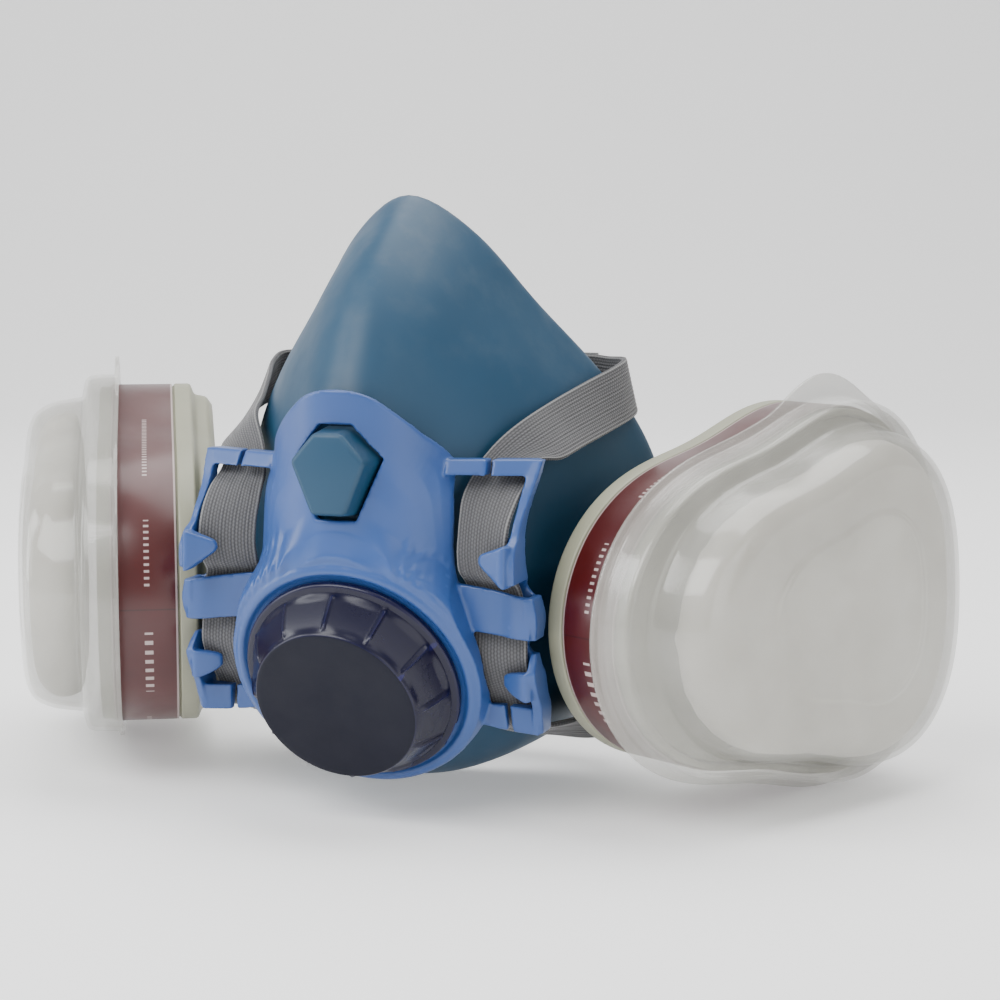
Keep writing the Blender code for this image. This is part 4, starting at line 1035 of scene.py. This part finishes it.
def make_retainer(side, place):
    name = SIDES[side]
    low = RETAINER_LEVEL
    corners = (
        (0.0, low + 1.1, 0.0), (2.0, low + 1.3, 1.2), (2.4, low + 8.8, 1.3), (8.0, low + 9.8, 1.4),
        (9.2, low + 17.5, 3.2), (11.4, low + 21.6, 3.2), (15.0, low + 23.1, 3.0), (26.6, low + 23.5, 0.6),
        (27.6, low + 24.1, 0.8), (34.0, low + 24.3, 2.0), (44.0, low + 24.4, 0.0),
    )
    profile = rounded([c[:2] for c in corners], [c[2] for c in corners], steps=5)
    rings = [outline_ring(side, *step) for step in profile]
    tab = []
    for x, y, level in rings[0]:
        arm = Vector((x - side * BAYONET_OFFSET, y, 0.0))
        angle = math.degrees(math.atan2(arm.y, side * arm.x))
        lift = TAB_LIFT * smooth_step(1 - abs(angle - TAB_ANGLE) / TAB_SPREAD)
        tab.append(Vector((x, y, level)) + arm.normalized() * lift)
    rings[0] = tab
    mesh = mesh_from("retainer", *loft(rings, cap_last=True), place=place)
    obj = add(f"retainer_{name}", mesh)
    solidify(obj, RETAINER_WALL)
    if side < 0:
        obj.data.flip_normals()
    bevel(bake(obj), 0.28, 2, 60.0)
    bake(obj)
    finish_piece(obj, f"retainer_{name}", "clear_retainer", f"filter_retainer_{name}")
    make_pad(side, place)


def make_pad(side, place):
    """The felt pad: a slightly small block swells under cloth pressure, held to a small distance."""
    name = SIDES[side]
    low = RETAINER_LEVEL
    foot, top = low + 11.0, low + 21.6
    corners = ((24.0, foot), (11.2, foot), (10.6, foot + 1.4), (10.8, top - 5.8), (13.6, top - 1.9),
               (18.2, top), (40.0, top + 0.4))
    pad = outline_solid(f"pad_{name}", side, rounded(corners, 1.2, steps=3), place)
    remesh(pad, PAD_VOXEL, 8)
    rest = [v.co.copy() for v in pad.data.vertices]
    cloth = pad.modifiers.new("swell", "CLOTH")
    cloth.settings.use_pressure = True
    cloth.settings.uniform_pressure_force = 4.0
    cloth.settings.effector_weights.gravity = 0.0
    cloth.settings.mass = 0.2
    cloth.point_cache.frame_start = 1
    cloth.point_cache.frame_end = SWELL_FRAMES
    scene = bpy.context.scene
    for number in range(1, SWELL_FRAMES + 1):
        scene.frame_set(number)
    bake(pad)
    scene.frame_set(1)
    cap = SWELL_LIMIT * MM
    for vertex, start in zip(pad.data.vertices, rest):
        move = vertex.co - start
        if move.length > cap:
            vertex.co = start + move * (cap / move.length)
    bake(subdivide(pad, 1))
    finish_piece(pad, f"retainer_{name}", "particulate_felt", f"particulate_pad_{name}", angle=180.0)


# ---- straps and clips

UPPER_RUN = (
    ((38.6, 77.0, 14.6), (-0.1, 0.05, 0.99)),
    ((44.6, 72.2, 14.8), (-0.2, 0.0, 0.95)),
    ((45.0, 65.0, 13.4), (-0.33, -0.05, 0.92)),
    ((42.3, 55.0, 11.0), (-0.5, -0.1, 0.85)),
    ((39.0, 43.0, 8.1), (-0.65, -0.15, 0.72)),
    ((36.2, 31.8, 5.2), (-0.8, -0.2, 0.6)),
)
LOWER_RUN = (
    ((36.2, 31.0, -58.2), (-0.92, -0.2, -0.15)),
    ((41.0, 43.5, -59.6), (-0.84, 0.0, -0.5)),
    ((44.4, 58.0, -61.4), (-0.62, 0.0, -0.8)),
    ((45.2, 72.0, -61.4), (-0.5, 0.0, -0.86)),
    ((43.8, 79.8, -60.4), (-0.3, 0.0, -0.95)),
    ((38.0, 85.6, -59.4), (0.0, 0.1, -0.99)),
)
STRAP_TRACK = (
    (1.4, 31.6, 24.5, 0.34), (-2.4, 30.3, 21.4, 0.27),
    (-6.0, 29.9, 16.4, 0.0), (-9.8, 29.8, 13.3, -0.22), (-13.4, 29.8, 11.7, -0.3),
    (-17.4, 29.8, 11.2, -0.28), (-21.2, 29.9, 12.6, -0.2), (-24.4, 30.6, 15.9, -0.13),
    (-28.6, 31.6, 16.4, -0.12), (-32.5, 32.0, 16.5, -0.12), (-36.5, 32.1, 16.1, -0.05),
    (-40.5, 32.2, 15.8, 0.0), (-44.8, 32.2, 18.0, 0.0), (-48.6, 32.2, 21.2, 0.04),
    (-52.2, 32.2, 23.8, 0.06), (-56.4, 32.4, 25.4, 0.08),
)


def loop_stations(back, level, width):
    path = (
        (34.0, LOOP_GAP), (CLIP_BAR_X + 1.6, LOOP_GAP), (CLIP_BAR_X - 1.4, LOOP_GAP), (CLIP_BAR_X - 2.8, 0.0),
        (CLIP_BAR_X - 1.4, -LOOP_GAP), (CLIP_BAR_X + 1.6, -LOOP_GAP), (32.0, -LOOP_GAP),
    )
    return [((x, back + y, level), (0.0, 0.0, width)) for x, y in path]


def strap_section():
    """(across, through) points round the strap's section: cords on both faces and rounded edges."""
    half, thick = STRAP_WIDTH / 2, STRAP_THICKNESS / 2
    count = STRAP_CORDS * 4
    face = []
    for i in range(count + 1):
        across = -half + 0.35 + (STRAP_WIDTH - 0.7) * i / count
        face.append((across, thick - 0.11 + 0.09 * abs(math.sin(math.pi * STRAP_CORDS * i / count)) ** 0.6))
    edge = [(half - 0.08, thick * 0.62), (half, 0.0), (half - 0.08, -thick * 0.62)]
    under = [(a, -t) for a, t in reversed(face)]
    other = [(-a, -t) for a, t in edge]
    return face + edge + under + other


def make_strap(side):
    name = SIDES[side]
    cradle = loop_stations(CRADLE_BACK, CRADLE_LEVEL, 1.0)
    neck = loop_stations(NECK_BACK, NECK_LEVEL, -1.0)[::-1]
    track = [((x, y, z), (-1.0, -slope, 0.0)) for z, x, y, slope in STRAP_TRACK]
    stations = cradle + list(UPPER_RUN) + track + list(LOWER_RUN) + neck
    centres = [mirrored(p, side) for p, _ in stations]
    widths = [mirrored(Vector(w).normalized(), side) for _, w in stations]
    count = 12 * (len(stations) - 1)
    path = [spline(centres, i / count) for i in range(count + 1)]
    section = strap_section()
    rings, lengths = [], []
    length = 0.0
    for i, centre in enumerate(path):
        width = spline(widths, i / count).normalized()
        ahead = (path[min(i + 1, count)] - path[max(i - 1, 0)]).normalized()
        through = ahead.cross(width).normalized()
        if i:
            length += (centre - path[i - 1]).length
        lengths.append(length)
        rings.append([centre + width * a + through * t for a, t in section])
    points, faces = loft(rings, cap_first=True, cap_last=True)
    mesh = mesh_from(f"webbing_{name}", points, faces)
    obj = add(f"webbing_{name}", mesh)
    layer = mesh.uv_layers.new(name="UVMap")
    for loop in mesh.loops:
        ring, place = divmod(loop.vertex_index, len(section))
        layer.data[loop.index].uv = (lengths[ring], section[place][0] + STRAP_WIDTH / 2)
    face_out(mesh)
    if side > 0:
        finish_piece(obj, None, "grey_elastic", "strap_left", angle=60.0)
        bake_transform(obj)
    else:
        finish_piece(obj, "mask", "grey_elastic", "strap_right", angle=60.0)


def dress_clips():
    for node in ("head_cradle", "neck_clasp_socket", "neck_clasp_plug"):
        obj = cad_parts[node]
        obj.data.materials.clear()
        obj.data.materials.append(LOOKS["clip_plastic"])
        bevel(obj, 0.45, 3, 30.0)


# ---- build

make_facepiece()
make_yoke()
make_valve()
make_cover()
for side in SIDES:
    place = cartridge_frame(side)
    make_port(side, place)
    make_cartridge(side, place)
    make_retainer(side, place)
    make_strap(side)
dress_clips()


# ---- floor, light, camera


def make_stage():
    """A pale floor that curves up into a backdrop, seen from the front."""
    turn = Matrix.Rotation(CAMERA_AZIMUTH, 4, "Z")
    bend, steps = 0.8, 24
    path = [(-2.5, 0.0), (0.9, 0.0)]
    for i in range(1, steps + 1):
        angle = math.pi / 2 * i / steps
        path.append((0.9 + bend * math.sin(angle), bend - bend * math.cos(angle)))
    path.append((0.9 + bend, 3.5))
    points = [turn @ Vector((x, y, z - 0.0004)) for y, z in path for x in (-3.0, 3.0)]
    faces = [(2 * i, 2 * i + 1, 2 * i + 3, 2 * i + 2) for i in range(len(path) - 1)]
    mesh = bpy.data.meshes.new("floor")
    mesh.from_pydata(points, [], faces)
    mesh.shade_smooth()
    n = Nodes("floor")
    tone = n.mix(n.span(n.noise(3.0, 4.0), 0.3, 0.7), (0.86, 0.86, 0.86), (0.88, 0.88, 0.88))
    n.set(Base_Color=tone, Roughness=0.75, Normal=n.bump(n.noise(240.0, 4.0), 0.06, 0.1),
          Emission_Color=(1.0, 1.0, 1.0, 1.0), Emission_Strength=0.3)
    mesh.materials.append(n.material)
    add("floor", mesh)


def area_light(name, where, target, size, power, colour=(1.0, 1.0, 1.0)):
    data = bpy.data.lights.new(name, "AREA")
    data.shape = "RECTANGLE"
    data.size, data.size_y = size
    data.energy = power
    data.color = colour
    obj = bpy.data.objects.new(name, data)
    bpy.context.scene.collection.objects.link(obj)
    obj.location = where
    obj.rotation_euler = (Vector(target) - Vector(where)).to_track_quat("-Z", "Y").to_euler()


def make_light():
    middle = (0.0, 0.0, 0.06)
    area_light("key", (-0.35, -0.85, 0.95), middle, (0.9, 0.7), 15.0)
    area_light("fill", (1.1, -0.7, 0.45), middle, (0.9, 0.9), 5.0, (1.0, 0.99, 0.97))
    area_light("top", (0.1, 0.25, 1.1), middle, (1.2, 0.8), 14.0)
    area_light("left", (-1.0, -0.45, 0.5), middle, (0.3, 0.9), 8.0, (0.96, 0.98, 1.0))
    world = bpy.data.worlds.new("studio")
    world.use_nodes = True
    world.node_tree.nodes["Background"].inputs[0].default_value = (1.0, 1.0, 1.0, 1.0)
    world.node_tree.nodes["Background"].inputs[1].default_value = 0.5
    bpy.context.scene.world = world


def make_camera():
    azimuth, elevation = CAMERA_AZIMUTH, CAMERA_ELEVATION
    right = Vector((math.cos(azimuth), math.sin(azimuth), 0.0))
    level = math.cos(elevation)
    back = Vector((math.sin(azimuth) * level, -math.cos(azimuth) * level, math.sin(elevation)))
    up = back.cross(right)
    data = bpy.data.cameras.new("camera")
    data.sensor_width = 36.0
    data.lens = CAMERA_LENS
    data.clip_end = 20.0
    obj = bpy.data.objects.new("camera", data)
    bpy.context.scene.collection.objects.link(obj)
    turn = Matrix((right, up, back)).transposed().to_4x4()
    obj.matrix_world = Matrix.Translation((CAMERA_PLACE + DATUM) * MM) @ turn
    bpy.context.scene.camera = obj


make_stage()
make_light()
make_camera()
